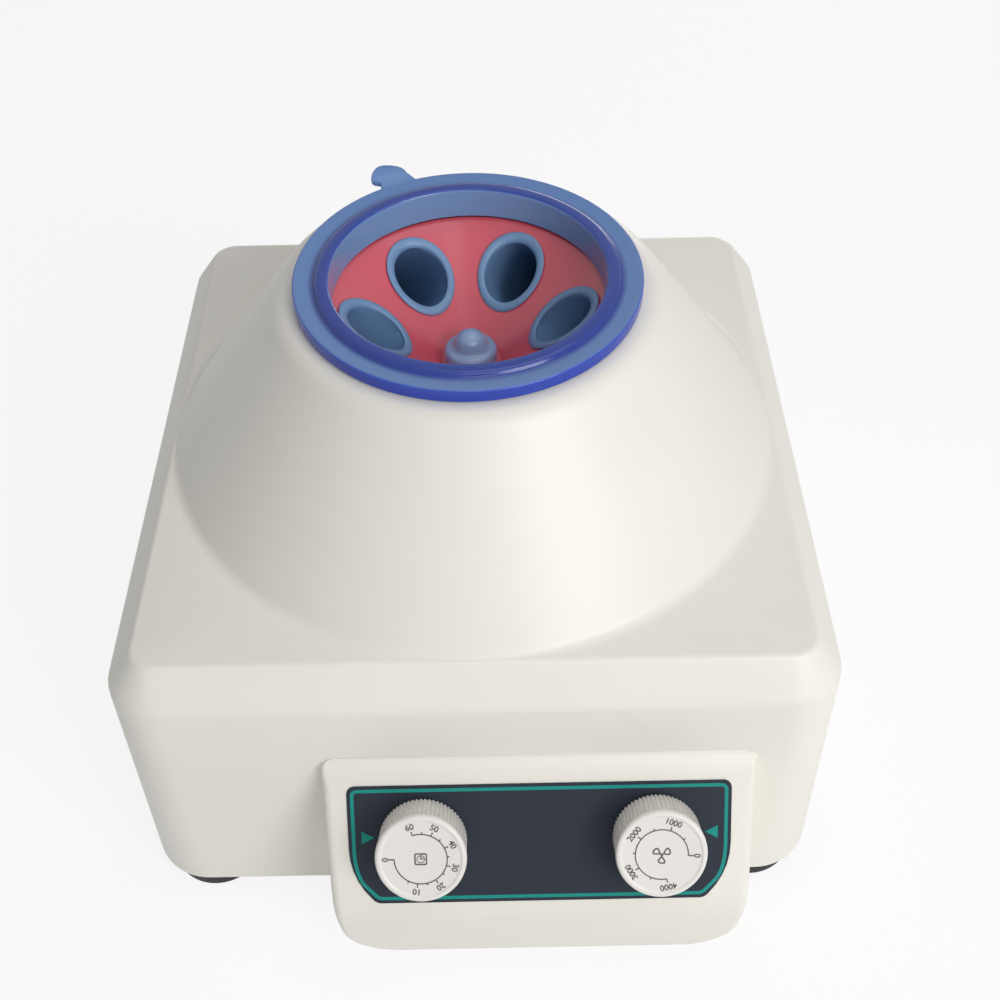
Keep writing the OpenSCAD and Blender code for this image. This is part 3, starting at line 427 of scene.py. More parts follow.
# Bluish charcoal with a fine matt texture
panel_film = moulded("Polycarbonate film, charcoal", "#262d39", "#232934", 0.46, grain=0.35, gloss=0.2)
# Flat opaque prints
teal_ink = moulded("Screen ink, teal", "#1b8f86", "#17877e", 0.5, grain=0.4, depth=0.005, gloss=0.2)
grey_ink = moulded("Screen ink, warm grey", "#4c4646", "#565050", 0.5, grain=0.3, depth=0.005)
print("plastics and inks made, materials so far:", len(bpy.data.materials))

# %% [markdown]
# The lid is soft translucent vinyl dyed blue, a little milky. Where sight runs along a wall of it, at the
# ridge and at the rim, the dye looks deep; the thin flange and the hanging wall look pale. A volume could
# give that depth, but the exported model would lose it. A ramp over the distance from the rotor's axis
# keeps it, and part of the light passes through. The pull tab is as thin as the flange, so it stays pale.

# %% Dyed vinyl
DYE_FROM = 50.0
DYE_TO = 76.0
LID_DYE = [
    (51.0, "#8cb3e2"), (51.4, "#2149b2"), (57.0, "#1b3d9f"), (58.8, "#6d96d2"),
    (63.7, "#6d96d2"), (64.2, "#3f62cc"), (64.5, "#2645bf"),
]
TAB_DYE = [(62.0, "#6d96d2"), (69.0, "#78a0d8"), (75.0, "#6a90cc")]
VINYL_ROUGH = 0.18
VINYL_IOR = 1.45
VINYL_CLEAR = 0.3


def dyed_vinyl(name, stops):
    """Milky vinyl whose dye follows the distance from the rotor's axis, as stops of (radius, colour)."""
    material, tree = new_material(name)
    place = add_node(tree, "ShaderNodeTexCoord")
    flat = add_node(tree, "ShaderNodeVectorMath", {"operation": "MULTIPLY"},
                    {0: place.outputs["Object"], 1: (1, 1, 0)})
    reach = add_node(tree, "ShaderNodeVectorMath", {"operation": "DISTANCE"},
                     {0: flat.outputs[0], 1: (axis.x * MM, axis.y * MM, 0)})
    along = add_node(tree, "ShaderNodeMapRange", None,
                     {"Value": reach.outputs["Value"], "From Min": DYE_FROM * MM, "From Max": DYE_TO * MM})
    dye = add_node(tree, "ShaderNodeValToRGB", None, {"Fac": along.outputs[0]})
    ramp = dye.color_ramp
    ramp.elements.remove(ramp.elements[1])
    ramp.elements[0].color = linear(stops[0][1])
    for r, colour in stops:
        ramp.elements.new((r - DYE_FROM) / (DYE_TO - DYE_FROM)).color = linear(colour)
    milky = add_node(tree, "ShaderNodeBsdfPrincipled", None,
                     {"Base Color": dye.outputs[0], "Roughness": VINYL_ROUGH, "IOR": VINYL_IOR,
                      "Transmission Weight": VINYL_CLEAR})
    add_node(tree, "ShaderNodeOutputMaterial", None, {"Surface": milky.outputs[0]})
    return material


lid_vinyl = dyed_vinyl("Translucent vinyl, blue", LID_DYE)
tab_vinyl = dyed_vinyl("Translucent vinyl, pale blue", TAB_DYE)
print("dye stops:", len(LID_DYE), "in the lid,", len(TAB_DYE), "in the tab")

# %% [markdown]
# Metals are inside and underneath: zinc-plated sheet with its cloudy spangle, machined steel, cast
# aluminium, copper. They share one recipe too, a metallic coat whose roughness and tone follow a noise as
# wide as the metal's own grain or spangle.

# %% Metals
METAL_SPREAD = 0.1
METAL_STRENGTH = 0.2
METAL_DEPTH = 0.02


def metal(name, colour, shade, roughness, grain):
    """A metal whose tone and roughness drift with a grain of the given millimetres."""
    material, tree = new_material(name)
    place = add_node(tree, "ShaderNodeTexCoord")
    cloud = add_node(tree, "ShaderNodeTexNoise", None,
                     {"Vector": place.outputs["Object"], "Scale": per_mm(grain), "Detail": 4.0})
    tone = add_node(tree, "ShaderNodeMix", {"data_type": "RGBA"},
                    {"Factor": cloud.outputs[0], MIX_A: linear(colour), MIX_B: linear(shade)})
    rough = add_node(tree, "ShaderNodeMapRange", None,
                     {"Value": cloud.outputs[0],
                      "To Min": roughness - METAL_SPREAD, "To Max": roughness + METAL_SPREAD})
    bump = add_node(tree, "ShaderNodeBump", None,
                    {"Strength": METAL_STRENGTH, "Distance": METAL_DEPTH * MM, "Height": cloud.outputs[0]})
    coat = add_node(tree, "ShaderNodeBsdfPrincipled", None,
                    {"Base Color": tone.outputs[MIX_RESULT], "Metallic": 1.0,
                     "Roughness": rough.outputs[0], "Normal": bump.outputs[0]})
    add_node(tree, "ShaderNodeOutputMaterial", None, {"Surface": coat.outputs[0]})
    return material


# Bright grey clouds on the base plate and the motor's bracket
zinc_sheet = metal("Zinc-plated sheet", "#c2c5c8", "#a9adb2", 0.42, 6)
# A little darker and livelier, as on tumbled screws
screw_steel = metal("Zinc-plated screw steel", "#b4b7bb", "#96999e", 0.35, 1.5)
# Clean and nearly mirror-like along the shaft
shaft_steel = metal("Ground steel", "#cfd1d4", "#bfc2c6", 0.22, 2)
# Dark and dull
can_steel = metal("Phosphated motor steel", "#6b6f75", "#5c6066", 0.5, 4)
# Mid grey, fine-grained from its stacked sheets
core_steel = metal("Silicon steel laminations", "#8d9094", "#77797d", 0.45, 1)
# Soft grey, rough as cast
cast_alloy = metal("Cast aluminium", "#a6a9ad", "#8f9296", 0.55, 2)
# Warm brown-red under lacquer
copper = metal("Enamelled copper", "#b8763c", "#a5642c", 0.32, 1)
# Slightly yellow and bright
nickel = metal("Nickel-plated brass", "#cbc6b8", "#bab5a6", 0.25, 1)
print("metals made, materials so far:", len(bpy.data.materials))

# %% [markdown]
# The case is one moulding: skirt, sloping band, flat deck and cone. Modelled as a square box joined to a
# cone it would show a hard seam, so it is skinned in one go from upright slices. Each slice follows the
# same key points, from the bottom edge up the outside, over the mouth and down the inside. Below the deck
# a slice looks straight out of the square, above it straight out of the circle.

# %% One slice of the case
DECK_HALF = 121.0
WAIST_HALF = 131.7
BASE_HALF = 135.7
CORNER_AT = 111.5  # the square that the rounded corners turn about
WAIST_DROP = 14.5
SHOULDER_RISE = 68.8
WALL = 3.0
CONE_R = 120.0
SHOULDER_R = 70.5
NECK_R = 61.5
MOUTH_R = 53.8
# How far the inside lies within the outside on the level, where the wall slants
SHOULDER_IN = 2.2
CONE_IN = 3.7
DECK_IN = 2.0
WAIST_IN = 3.2
case_bottom = case_low.z
waist_z = deck_z - WAIST_DROP
shoulder_z = deck_z + SHOULDER_RISE
neck_top = case_high.z


def case_slice(foot, out):
    """Key points of one slice, from a point on the inner square and its outward direction."""
    def square(half, z):
        return (*(foot + out * (half - CORNER_AT)), z)

    bearing = (foot + out * (DECK_HALF - CORNER_AT)).normalized()

    def circle(r, z):
        return (*(bearing * r), z)

    return eased([
        (square(BASE_HALF - WALL, case_bottom), 0.6),
        (square(BASE_HALF, case_bottom), 1.0),
        (square(WAIST_HALF, waist_z), 2.2),
        (square(DECK_HALF, deck_z), 1.8),
        (circle(CONE_R, deck_z), 3.0),
        (circle(SHOULDER_R, shoulder_z), 5.5),
        (circle(NECK_R, shoulder_z), 0.7),
        (circle(NECK_R, neck_top), 0.8),
        (circle(MOUTH_R, neck_top), 0.8),
        (circle(MOUTH_R, shoulder_z - WALL), 0.6),
        (circle(SHOULDER_R - SHOULDER_IN, shoulder_z - WALL), 3.0),
        (circle(CONE_R - CONE_IN, deck_z - WALL), 3.0),
        (square(DECK_HALF - DECK_IN, deck_z - WALL), 2.5),
        (square(WAIST_HALF - WAIST_IN, waist_z), 3.0),
    ])


# %% [markdown]
# The slices go once round: along each side they are spaced by equal turns, so the cone is even, and at
# each corner they fan out. The closed run of slices is the whole case, inside and outside.

# %% Case
SIDE_STEPS = 44
CORNER_STEPS = 14
side_turn = math.atan(CORNER_AT / DECK_HALF)
slices = []
for quarter in range(4):
    turn = Matrix.Rotation(math.pi / 2 * quarter, 2)
    for k in range(SIDE_STEPS):
        along = DECK_HALF * math.tan(side_turn * (2 * k / SIDE_STEPS - 1))
        slices.append(case_slice(turn @ Vector((CORNER_AT, along)), turn @ Vector((1, 0))))
    for lean in quarter_turn(CORNER_STEPS)[:-1]:
        out = Vector((math.cos(lean), math.sin(lean)))
        slices.append(case_slice(turn @ Vector((CORNER_AT, CORNER_AT)), turn @ out))
housing = settle(add_piece("housing", *skin(slices, wrap=True), cream_abs), onto_axis())
print("case slices:", len(slices), "points:", len(housing.data.vertices))

# %% [markdown]
# The back of the case has a hole for the power inlet. A boolean cut is fine here, because its edge lies
# under the inlet's flange.

# %% Hole for the power inlet
HOLE_HALF = Vector((14.2, 0, 10.7))
HOLE_REACH = 60
inlet_low, inlet_high = box_mm("power_inlet")
inlet_mid = (inlet_low + inlet_high) / 2
hole_low = Vector((inlet_mid.x, inlet_low.y, inlet_mid.z)) - HOLE_HALF
hole_high = Vector((inlet_mid.x, inlet_low.y + HOLE_REACH, inlet_mid.z)) + HOLE_HALF


def as_mesh(thing):
    """The plain mesh that an object's modifiers or letters come to."""
    graph = bpy.context.evaluated_depsgraph_get()
    return bpy.data.meshes.new_from_object(thing.evaluated_get(graph), depsgraph=graph)


def cut_away(piece, cutter):
    """Cuts one piece's shape out of another, and removes the cutter."""
    cut = piece.modifiers.new("cut", "BOOLEAN")
    cut.operation = "DIFFERENCE"
    cut.solver = "EXACT"
    cut.object = cutter
    mesh = as_mesh(piece)
    piece.modifiers.remove(cut)
    piece.data = soften(mesh)
    bpy.data.objects.remove(cutter)
    return piece


cut_away(housing, add_piece("inlet hole", *block(hole_low, hole_high), cream_abs))
print("case with inlet hole:", len(housing.data.polygons), "faces")

# %% [markdown]
# The console grows out of the front of the skirt: a sloping face for the panel, a soft bend and an upright
# lower front. Its front is a path in side view, from below the case up over the face to the ledge that
# meets the skirt. Its depth depends on the height alone, which makes the face easy to close later.

# %% Front of the console
CONSOLE_HALF = 79.75
CONSOLE_DRAFT = 5.5
CONSOLE_CORNER = 21.5
CONSOLE_LIFT = 1.5
KNOB_DROP = 20.6  # from the panel's upper edge down to the knobs' axes
FACE_BELOW = 52
FACE_ABOVE = 6
TOE = 2
BEND_EASE = 7
BROW_EASE = 5
LEDGE_EASE = 7
TOP_SLOPE = 0.6
TOP_CORNER = 3.6
SINK = 0.5
OVER_LEDGE = 8
console_x = (timer_at.x + speed_at.x) / 2
console_bottom = case_bottom + CONSOLE_LIFT
panel_top = (timer_at + speed_at) / 2 + panel_up * KNOB_DROP
face_low = panel_top - panel_up * FACE_BELOW
face_high = panel_top + panel_up * FACE_ABOVE


def skirt_at(z):
    return BASE_HALF - (BASE_HALF - WAIST_HALF) * (z - case_bottom) / (waist_z - case_bottom)


def before_axis(point):
    return axis.y - point.y


ledge_run = before_axis(face_high) - skirt_at(face_high.z)
ledge_z = face_high.z + TOP_SLOPE * ledge_run
console_top = ledge_z + OVER_LEDGE
front_path = eased([
    ((before_axis(face_low) - TOE, console_bottom - TOE), 0),
    ((before_axis(face_low), face_low.z), BEND_EASE),
    ((before_axis(face_high), face_high.z), BROW_EASE),
    ((skirt_at(ledge_z) - SINK, ledge_z), LEDGE_EASE),
    ((skirt_at(console_top) - SINK, console_top), 0),
], closed=False, steps=8)


def front_at(z):
    """Distance of the console's front before the rotor axis at a height."""
    for low, high in zip(front_path, front_path[1:]):
        if low.y <= z <= high.y:
            return low.x + (high.x - low.x) * (z - low.y) / (high.y - low.y)
    return front_path[0].x if z < front_path[0].y else front_path[-1].x


print("console ledge at:", round(ledge_z, 2), "points on the front:", len(front_path))

# %% [markdown]
# Seen from the front, the console is drawn in towards its bottom, with large lower corners and small upper
# ones. One half of that outline is enough, because the other half mirrors it.

# %% Outline of the console
CORNER_RAYS = 12
LEVEL_STEP = 0.8


def half_at(z):
    """Half width of the console at a height, drawn in towards its bottom and round at its top corners."""
    drawn = CONSOLE_HALF - CONSOLE_DRAFT * ((waist_z - z) / (waist_z - console_bottom)) ** 2
    over = min(max(z - ledge_z + TOP_CORNER, 0), TOP_CORNER)
    return drawn - TOP_CORNER + math.sqrt(TOP_CORNER ** 2 - over ** 2)


corner_z = console_bottom + CONSOLE_CORNER
corner_middle = Vector((half_at(corner_z) - CONSOLE_CORNER, corner_z))
corner_turns = [turn - math.pi / 2 for turn in quarter_turn(CORNER_RAYS)]
outline = [corner_middle + CONSOLE_CORNER * Vector((math.cos(t), math.sin(t))) for t in corner_turns]
corner_top = outline[-1].y
level_count = int((console_top - corner_top) / LEVEL_STEP)
levels = [corner_top + (console_top - corner_top) * k / level_count for k in range(1, level_count + 1)]
outline += [Vector((half_at(z), z)) for z in levels]
print("points on half the console's outline:", len(outline))

# %% [markdown]
# The console is skinned from rings that follow the outline: first a fillet out of the skirt, then the side
# walls, then the rounded edge, and last the face, which is closed with level strips. A box with a bevel
# would not flow into the slanting skirt; these rings start on it.

# %% Console
EDGE_R = 3.6
ROOT_R = 1.6
ROUND_SHARE = 0.45  # a rounding takes at most this share of the console's depth
ROOT_SINK = 0.06
ROOT_BURY = 1.5
BOTTOM_GAP = 0.3
THIN = 1.0
ROUND_STEPS = 6


def rounded(r, depth):
    return min(r, ROUND_SHARE * max(depth, 0))


def buried(depth):
    return -rounded(ROOT_R, depth), -ROOT_BURY


def root(turn):
    """Inset and height of the fillet at the skirt, as a rule for any depth."""
    def reach(depth):
        r = rounded(ROOT_R, depth)
        return -r * (1 - math.sin(turn)), r * (1 - math.cos(turn)) - ROOT_SINK
    return reach


def edge(turn):
    """Inset and height of the rounded edge of the face, as a rule for any depth."""
    def reach(depth):
        r = rounded(EDGE_R, depth)
        return r * (1 - math.cos(turn)), depth - r * (1 - math.sin(turn))
    return reach


def console_ring(reach):
    """A closed ring; reach gives (inset, height) from the skirt for a console depth."""
    right = []
    for guide in outline:
        depth = front_at(guide.y) - skirt_at(guide.y)
        inset, out = reach(depth)
        if guide.y - console_bottom - CONSOLE_CORNER < 0:
            point = corner_middle + (guide - corner_middle).normalized() * (CONSOLE_CORNER - inset)
        else:
            point = Vector((guide.x - inset, guide.y))
        point.y = max(point.y, case_bottom + BOTTOM_GAP)
        base = skirt_at(point.y)
        full = front_at(point.y) - base
        share = full / depth if depth > THIN else 1.0
        right.append(Vector((point.x, base + out * share, point.y)))
    left = [Vector((-p.x, p.y, p.z)) for p in reversed(right)]
    return [Vector((console_x + p.x, axis.y - p.y, p.z)) for p in right + left]


rings = [console_ring(buried)]
rings += [console_ring(root(turn)) for turn in quarter_turn(ROUND_STEPS)]
rings += [console_ring(edge(turn)) for turn in quarter_turn(ROUND_STEPS)]
points, faces = skin(rings)
half_ring = len(outline)
for ring in (0, len(rings) - 1):
    first = ring * 2 * half_ring
    for k in range(half_ring - 1):
        far = first + 2 * half_ring - 1 - k
        faces.append((first + k, first + k + 1, far - 1, far))
console = add_piece("console", points, faces, cream_abs)
print("console rings:", len(rings), "faces:", len(console.data.polygons))

# %% [markdown]
# Two Geometry Nodes trees serve everything that repeats. The first turns copies of a shape about an axis:
# the sleeves of the rotor, the flutes of a knob, the ticks of a dial. The second draws a flat band along
# a path: the coloured line round the panel and the arc of a dial.

# %% Trees for rings and bands
def open_tree(name, sockets):
    tree = bpy.data.node_groups.new(name, "GeometryNodeTree")
    for label, kind in sockets:
        tree.interface.new_socket(label, in_out="INPUT", socket_type=kind)
    tree.interface.new_socket("Result", in_out="OUTPUT", socket_type="NodeSocketGeometry")
    return tree, add_node(tree, "NodeGroupInput")


def close_tree(tree, given, geometry):
    solid = add_node(tree, "GeometryNodeRealizeInstances", None, {"Geometry": geometry})
    done = add_node(tree, "GeometryNodeSetMaterial", None,
                    {"Geometry": solid.outputs[0], "Material": given.outputs["Finish"]})
    add_node(tree, "NodeGroupOutput", None, {"Result": done.outputs[0]})


ring_tree, given = open_tree("Ring of copies", [
    ("Shape", "NodeSocketGeometry"), ("Count", "NodeSocketInt"), ("Step", "NodeSocketFloat"),
    ("Start", "NodeSocketFloat"), ("Finish", "NodeSocketMaterial")])
spots = add_node(ring_tree, "GeometryNodePoints", None, {"Count": given.outputs["Count"]})
number = add_node(ring_tree, "GeometryNodeInputIndex")
bearing = add_node(ring_tree, "ShaderNodeMath", {"operation": "MULTIPLY_ADD"},
                   {0: number.outputs[0], 1: given.outputs["Step"], 2: given.outputs["Start"]})
spin = add_node(ring_tree, "ShaderNodeCombineXYZ", None, {"Z": bearing.outputs[0]})
copies = add_node(ring_tree, "GeometryNodeInstanceOnPoints", None,
                  {"Points": spots.outputs[0], "Instance": given.outputs["Shape"],
                   "Rotation": spin.outputs[0]})
close_tree(ring_tree, given, copies.outputs[0])

band_tree, given = open_tree("Flat band", [
    ("Path", "NodeSocketGeometry"), ("Width", "NodeSocketFloat"), ("Height", "NodeSocketFloat"),
    ("Finish", "NodeSocketMaterial")])
line = add_node(band_tree, "GeometryNodeMeshToCurve", None, {"Mesh": given.outputs["Path"]})
flat = add_node(band_tree, "GeometryNodeSetCurveNormal", {"mode": "Z_UP"}, {"Curve": line.outputs[0]})
strip = add_node(band_tree, "GeometryNodeCurvePrimitiveQuadrilateral", None,
                 {"Width": given.outputs["Width"], "Height": given.outputs["Height"]})
swept = add_node(band_tree, "GeometryNodeCurveToMesh", None,
                 {"Curve": flat.outputs[0], "Profile Curve": strip.outputs[0], "Fill Caps": True})
close_tree(band_tree, given, swept.outputs[0])
print("trees:", [tree.name for tree in bpy.data.node_groups])

# %% [markdown]
# A tree runs as a modifier for a moment: its inputs are set, the result is taken as a plain mesh and the
# modifier goes again. What is left is an ordinary piece, which the frame can move and the export can read.

# %% Running the trees
def grow(piece, tree, **values):
    """Runs a tree on a piece and keeps the result as its plain mesh."""
    modifier = piece.modifiers.new("grow", "NODES")
    modifier.node_group = tree
    for item in tree.interface.items_tree:
        if item.in_out == "INPUT" and item.name in values:
            modifier[item.identifier] = values[item.name]
    mesh = as_mesh(piece)
    piece.modifiers.remove(modifier)
    piece.data = cleaned(mesh)
    return piece


def ring_of(piece, count, finish, step=None, start=0.0):
    turn = math.tau / count if step is None else step
    return grow(piece, ring_tree, Count=count, Step=turn, Start=start, Finish=finish)


def band(name, path, width, height, finish, closed=True):
    """A flat band of the given millimetres along a path of points."""
    mesh = bpy.data.meshes.new(name)
    count = len(path)
    edges = [(k, (k + 1) % count) for k in range(count if closed else count - 1)]
    mesh.from_pydata([Vector(point) * MM for point in path], edges, [])
    return grow(new_object(name, mesh), band_tree, Width=width * MM, Height=height * MM, Finish=finish)


def joined(name, pieces):
    """One piece from several that share a body and a finish."""
    work = bmesh.new()
    for piece in pieces:
        work.from_mesh(piece.data)
    mesh = bpy.data.meshes.new(name)
    work.to_mesh(mesh)
    work.free()
    mesh.materials.append(pieces[0].data.materials[0])
    for piece in pieces:
        bpy.data.objects.remove(piece)
    return new_object(name, mesh)


# %% [markdown]
# The panel is a printed film. Its solid is right as it stands, so it only gets its finish. The coloured
# line could be drawn by the material, but a thin band of ink keeps its edge sharp from any distance. The
# two pointers are thin prints as well.

# %% Panel print
PANEL_HALF = 70.3
PANEL_H = 46.0
LOW_RISE = 10.0
LOW_INSET = 9.8
LOW_SHARE = 0.42  # how much of an inset the lower corner and the bend take
BEND_SHARE = 0.41
SIDE_LEAN = 0.2
LOW_EASE = 1.7
SIDE_EASE = 11.0
HIGH_EASE = 2.2
LINE_INSET = 1.9
LINE_WIDTH = 1.3
INK = 0.08
FILM_TOP = 0.4
POINTER_X = 63.0
POINTER_DROP = 20.0
POINTER_REACH = 2.3
POINTER_HALF = 2.5


def panel_path(inset):
    """The panel's outline drawn in: its sides bend in a long curve to the lower edge."""
    side = PANEL_HALF - inset
    low = PANEL_HALF - LOW_INSET - LOW_SHARE * inset
    bend = LOW_RISE - PANEL_H + BEND_SHARE * inset
    right = [
        ((low, inset - PANEL_H, 0), LOW_EASE),
        ((side - SIDE_LEAN, bend, 0), SIDE_EASE),
        ((side, -inset, 0), HIGH_EASE),
    ]
    left = [((-x, y, z), ease) for (x, y, z), ease in reversed(right)]
    return eased(right + left, steps=12)


def pointer(name, side):
    """A small solid triangle at the left (-1) or right (1) that points at a knob."""
    x = side * POINTER_X
    reach = -side * POINTER_REACH
    flat = [(x - reach, -POINTER_DROP - POINTER_HALF), (x - reach, -POINTER_DROP + POINTER_HALF),
            (x + reach, -POINTER_DROP)]
    points = [(px, py, h) for h in (0, INK) for px, py in flat]
    faces = [(0, 1, 2), (3, 4, 5), (0, 1, 4, 3), (1, 2, 5, 4), (2, 0, 3, 5)]
    return add_piece(name, points, faces, teal_ink)


onto_film = onto_panel(panel_top + panel_out * FILM_TOP)
trim = settle(band("panel_line", panel_path(LINE_INSET), LINE_WIDTH, INK, teal_ink), onto_film)
marks = settle(joined("panel_pointers", [pointer("left", -1), pointer("right", 1)]), onto_film)
print("panel line:", len(trim.data.polygons), "faces, pointers:", len(marks.data.polygons))

# %% [markdown]
# A knob is one moulding: a fluted side for the fingers, a smooth rim and a face set a little lower, with a
# printed scale. One flute is modelled as a thin wedge from the middle of the face to the middle of the
# underside, and the ring tree turns it into the whole knob; the wedges then merge to one closed skin.

# %% Knobs
KNOB_R = 16.4
FLUTED_R = 16.1
KNOB_LOW = 1.0
KNOB_HIGH = 17.6
FACE_SINK = 0.4
FACE_IN = 2.2  # insets from the knob's radius, then drops from its top
RIM_IN = 1.8
RIM_OUT = 0.5
RIM_ROUND = 1.0
RIM_DEEP = 2.2
FLUTE_FROM = 2.5
HEEL_RISE = 0.6
HEEL_IN = 1.0
WELL_R = 8.0
WELL_TOP = KNOB_LOW + 4.5
FLUTES = 64
FLUTE_DEPTH = 0.55
# One flute across, as (share of its turn, share of its depth): a rib, then a groove
FLUTE_SHAPE = [(0.0, 0.0), (0.42, 0.0), (0.58, 1.0), (0.84, 1.0), (1.0, 0.0)]
# The knob's profile from the middle of its face to its well; the third number says where flutes cut
knob_profile = eased([
    ((0.0, KNOB_HIGH - FACE_SINK, 0), 0),
    ((KNOB_R - FACE_IN, KNOB_HIGH - FACE_SINK, 0), 0.3),
    ((KNOB_R - RIM_IN, KNOB_HIGH, 0), 0.3),
    ((KNOB_R - RIM_OUT, KNOB_HIGH, 0), 0.6),
    ((KNOB_R, KNOB_HIGH - RIM_ROUND, 0), 0.5),
    ((KNOB_R, KNOB_HIGH - RIM_DEEP, 0), 0.2),
    ((FLUTED_R, KNOB_HIGH - FLUTE_FROM, 1), 0.1),
    ((FLUTED_R, KNOB_LOW + HEEL_RISE, 1), 0.4),
    ((FLUTED_R - HEEL_IN, KNOB_LOW, 0), 0.4),
    ((WELL_R, KNOB_LOW, 0), 0.2),
    ((WELL_R, WELL_TOP, 0), 0.2),
    ((0.0, WELL_TOP, 0), 0),
], closed=False, steps=3)


def add_knob(name, at):
    columns = []
    for share, notch in FLUTE_SHAPE:
        turn = math.tau / FLUTES * share
        spot = [(r - FLUTE_DEPTH * notch * cut, z) for r, z, cut in knob_profile]
        columns.append([(r * math.cos(turn), r * math.sin(turn), z) for r, z in spot])
    size = len(knob_profile)
    points = [point for column in columns for point in column]
    faces = [(a * size + k, a * size + k + 1, (a + 1) * size + k + 1, (a + 1) * size + k)
             for a in range(len(columns) - 1) for k in range(size - 1)]
    return settle(ring_of(add_piece(name, points, faces, white_abs), FLUTES, white_abs), onto_panel(at))


timer_knob = add_knob("timer_dial_knob", timer_at)
speed_knob = add_knob("speed_dial_knob", speed_at)
print("knob faces:", len(timer_knob.data.polygons))

# %% [markdown]
# Each dial carries an arc with ticks and numbers. They are printed, so they are thin meshes just above the
# face. The ticks are copies of a bar, the arc is a band, and the numbers are text made into meshes. They
# stand with their heads outwards, so that each reads upright when the knob brings it to the top.

# %% Scales of the dials
ARC_R = 9.4
ARC_STEPS = 96
ARC_WIDTH = 0.4
FIRST_TICK = (2.0, 0.45)  # length and width
LONG_TICK = (1.5, 0.4)
SHORT_TICK = (0.9, 0.36)
NUMBER_SIZE = 3.1
NUMBER_R = 12.5
NUMBER_FATTEN = 0.05


def bar(start, end, width):
    """A flat printed bar along the x axis between two radii."""
    return add_piece("bar", *block((start, -width / 2, 0), (end, width / 2, INK)), grey_ink)


def ticks(kind, count, step, start):
    """Ticks outside the arc, from a start turn and a step in degrees."""
    length, width = kind
    tick = bar(ARC_R, ARC_R + length, width)
    return ring_of(tick, count, grey_ink, math.radians(step), math.radians(start))


def number_print(text, turn):
    """A number as a flat mesh, its head outwards at the given turn."""
    curve = bpy.data.curves.new("number", "FONT")
    curve.body = text
    curve.size = NUMBER_SIZE * MM
    curve.offset = NUMBER_FATTEN * MM
    curve.align_x = "CENTER"
    curve.align_y = "CENTER"
    curve.extrude = INK / 2 * MM
    holder = new_object("number", curve)
    mesh = as_mesh(holder)
    bpy.data.objects.remove(holder)
    spot = Vector((NUMBER_R * math.cos(turn), NUMBER_R * math.sin(turn), INK / 2)) * MM
    mesh.transform(Matrix.Translation(spot) @ Matrix.Rotation(turn - math.pi / 2, 4, "Z"))
    mesh.materials.clear()
    mesh.materials.append(grey_ink)
    return new_object("number", mesh)


def scale_print(start, first, step, labels):
    """Arc, ticks and numbers that run anticlockwise from a start turn, all turns in degrees."""
    steps = len(labels) - 1
    turns = [start] + [start + first + step * k for k in range(steps)]
    span = math.radians(turns[-1] - start)
    arc = [math.radians(start) + span * k / ARC_STEPS for k in range(ARC_STEPS + 1)]
    prints = [
        band("arc", circle_points(ARC_R, INK / 2, arc), ARC_WIDTH, INK, grey_ink, closed=False),
        ticks(FIRST_TICK, 1, 0, start),
        ticks(LONG_TICK, steps, step, turns[1]),
        ticks(SHORT_TICK, steps, step, turns[1] - step / 2),
    ]
    return prints + [number_print(text, math.radians(turn)) for text, turn in zip(labels, turns)]


# %% [markdown]
# In the middle of each dial is a small sign: a clock for the time and a fan for the speed. Both are plain
# line drawings, so bands and bars make them as they make the scales.

# %% Signs and dial prints
CLOCK_HALF = 2.0
CLOCK_EASE = 0.5
CLOCK_FACE_R = 1.35
HAND = (-0.1, 1.1, 0.34)
HAND_STEP = math.radians(70)
HAND_START = math.radians(20)
SIGN_LINE = 0.5
FACE_LINE = 0.26
BLADE = [((0.7, -0.1), 0.2), ((2.4, -1.4), 0.5), ((3.3, -0.5), 0.6), ((3.1, 1.2), 0.5), ((1.7, 0.7), 0.4)]
BLADES = 3
BLADE_START = math.radians(30)
HUB_SIGN_R = 0.34
HUB_LINE = 0.4
CLOCK_STEPS = 48
HUB_STEPS = 24
PRINT_LIFT = 0.03
PRINT_Z = KNOB_HIGH - FACE_SINK + PRINT_LIFT
TIMER_SCALE = (180, 82, 41)  # degrees: the start, the first step and the steps after it
SPEED_SCALE = (-3, 74, 70)
MINUTES = [str(10 * k) for k in range(7)]
SPEEDS = [str(1000 * k) for k in range(5)]


def clock_sign():
    half = CLOCK_HALF
    corners = [(-half, -half), (half, -half), (half, half), (-half, half)]
    frame_path = eased([((x, y, INK / 2), CLOCK_EASE) for x, y in corners])
    face_path = circle_points(CLOCK_FACE_R, INK / 2, full_turn(CLOCK_STEPS))
    return [band("sign frame", frame_path, SIGN_LINE, INK, grey_ink),
            band("sign face", face_path, FACE_LINE, INK, grey_ink),
            ring_of(bar(*HAND), 2, grey_ink, HAND_STEP, HAND_START)]


def fan_sign():
    blade = eased([((x, y, INK / 2), ease) for (x, y), ease in BLADE])
    hub = circle_points(HUB_SIGN_R, INK / 2, full_turn(HUB_STEPS))
    return [ring_of(band("blade", blade, SIGN_LINE, INK, grey_ink), BLADES, grey_ink, None, BLADE_START),
            band("hub", hub, HUB_LINE, INK, grey_ink)]


timer_print = joined("timer_print", scale_print(*TIMER_SCALE, MINUTES) + clock_sign())
speed_print = joined("speed_print", scale_print(*SPEED_SCALE, SPEEDS) + fan_sign())
settle(timer_print, onto_panel(timer_at + panel_out * PRINT_Z))
settle(speed_print, onto_panel(speed_at + panel_out * PRINT_Z))
print("dial prints:", len(timer_print.data.polygons), len(speed_print.data.polygons))

# %% [markdown]
# The rotor is a funnel of red plastic on a hub. Turning its profile gives the funnel, the rim and the hub
# in one skin; the holes for the sleeves are cut afterwards, because they don't follow the turning.

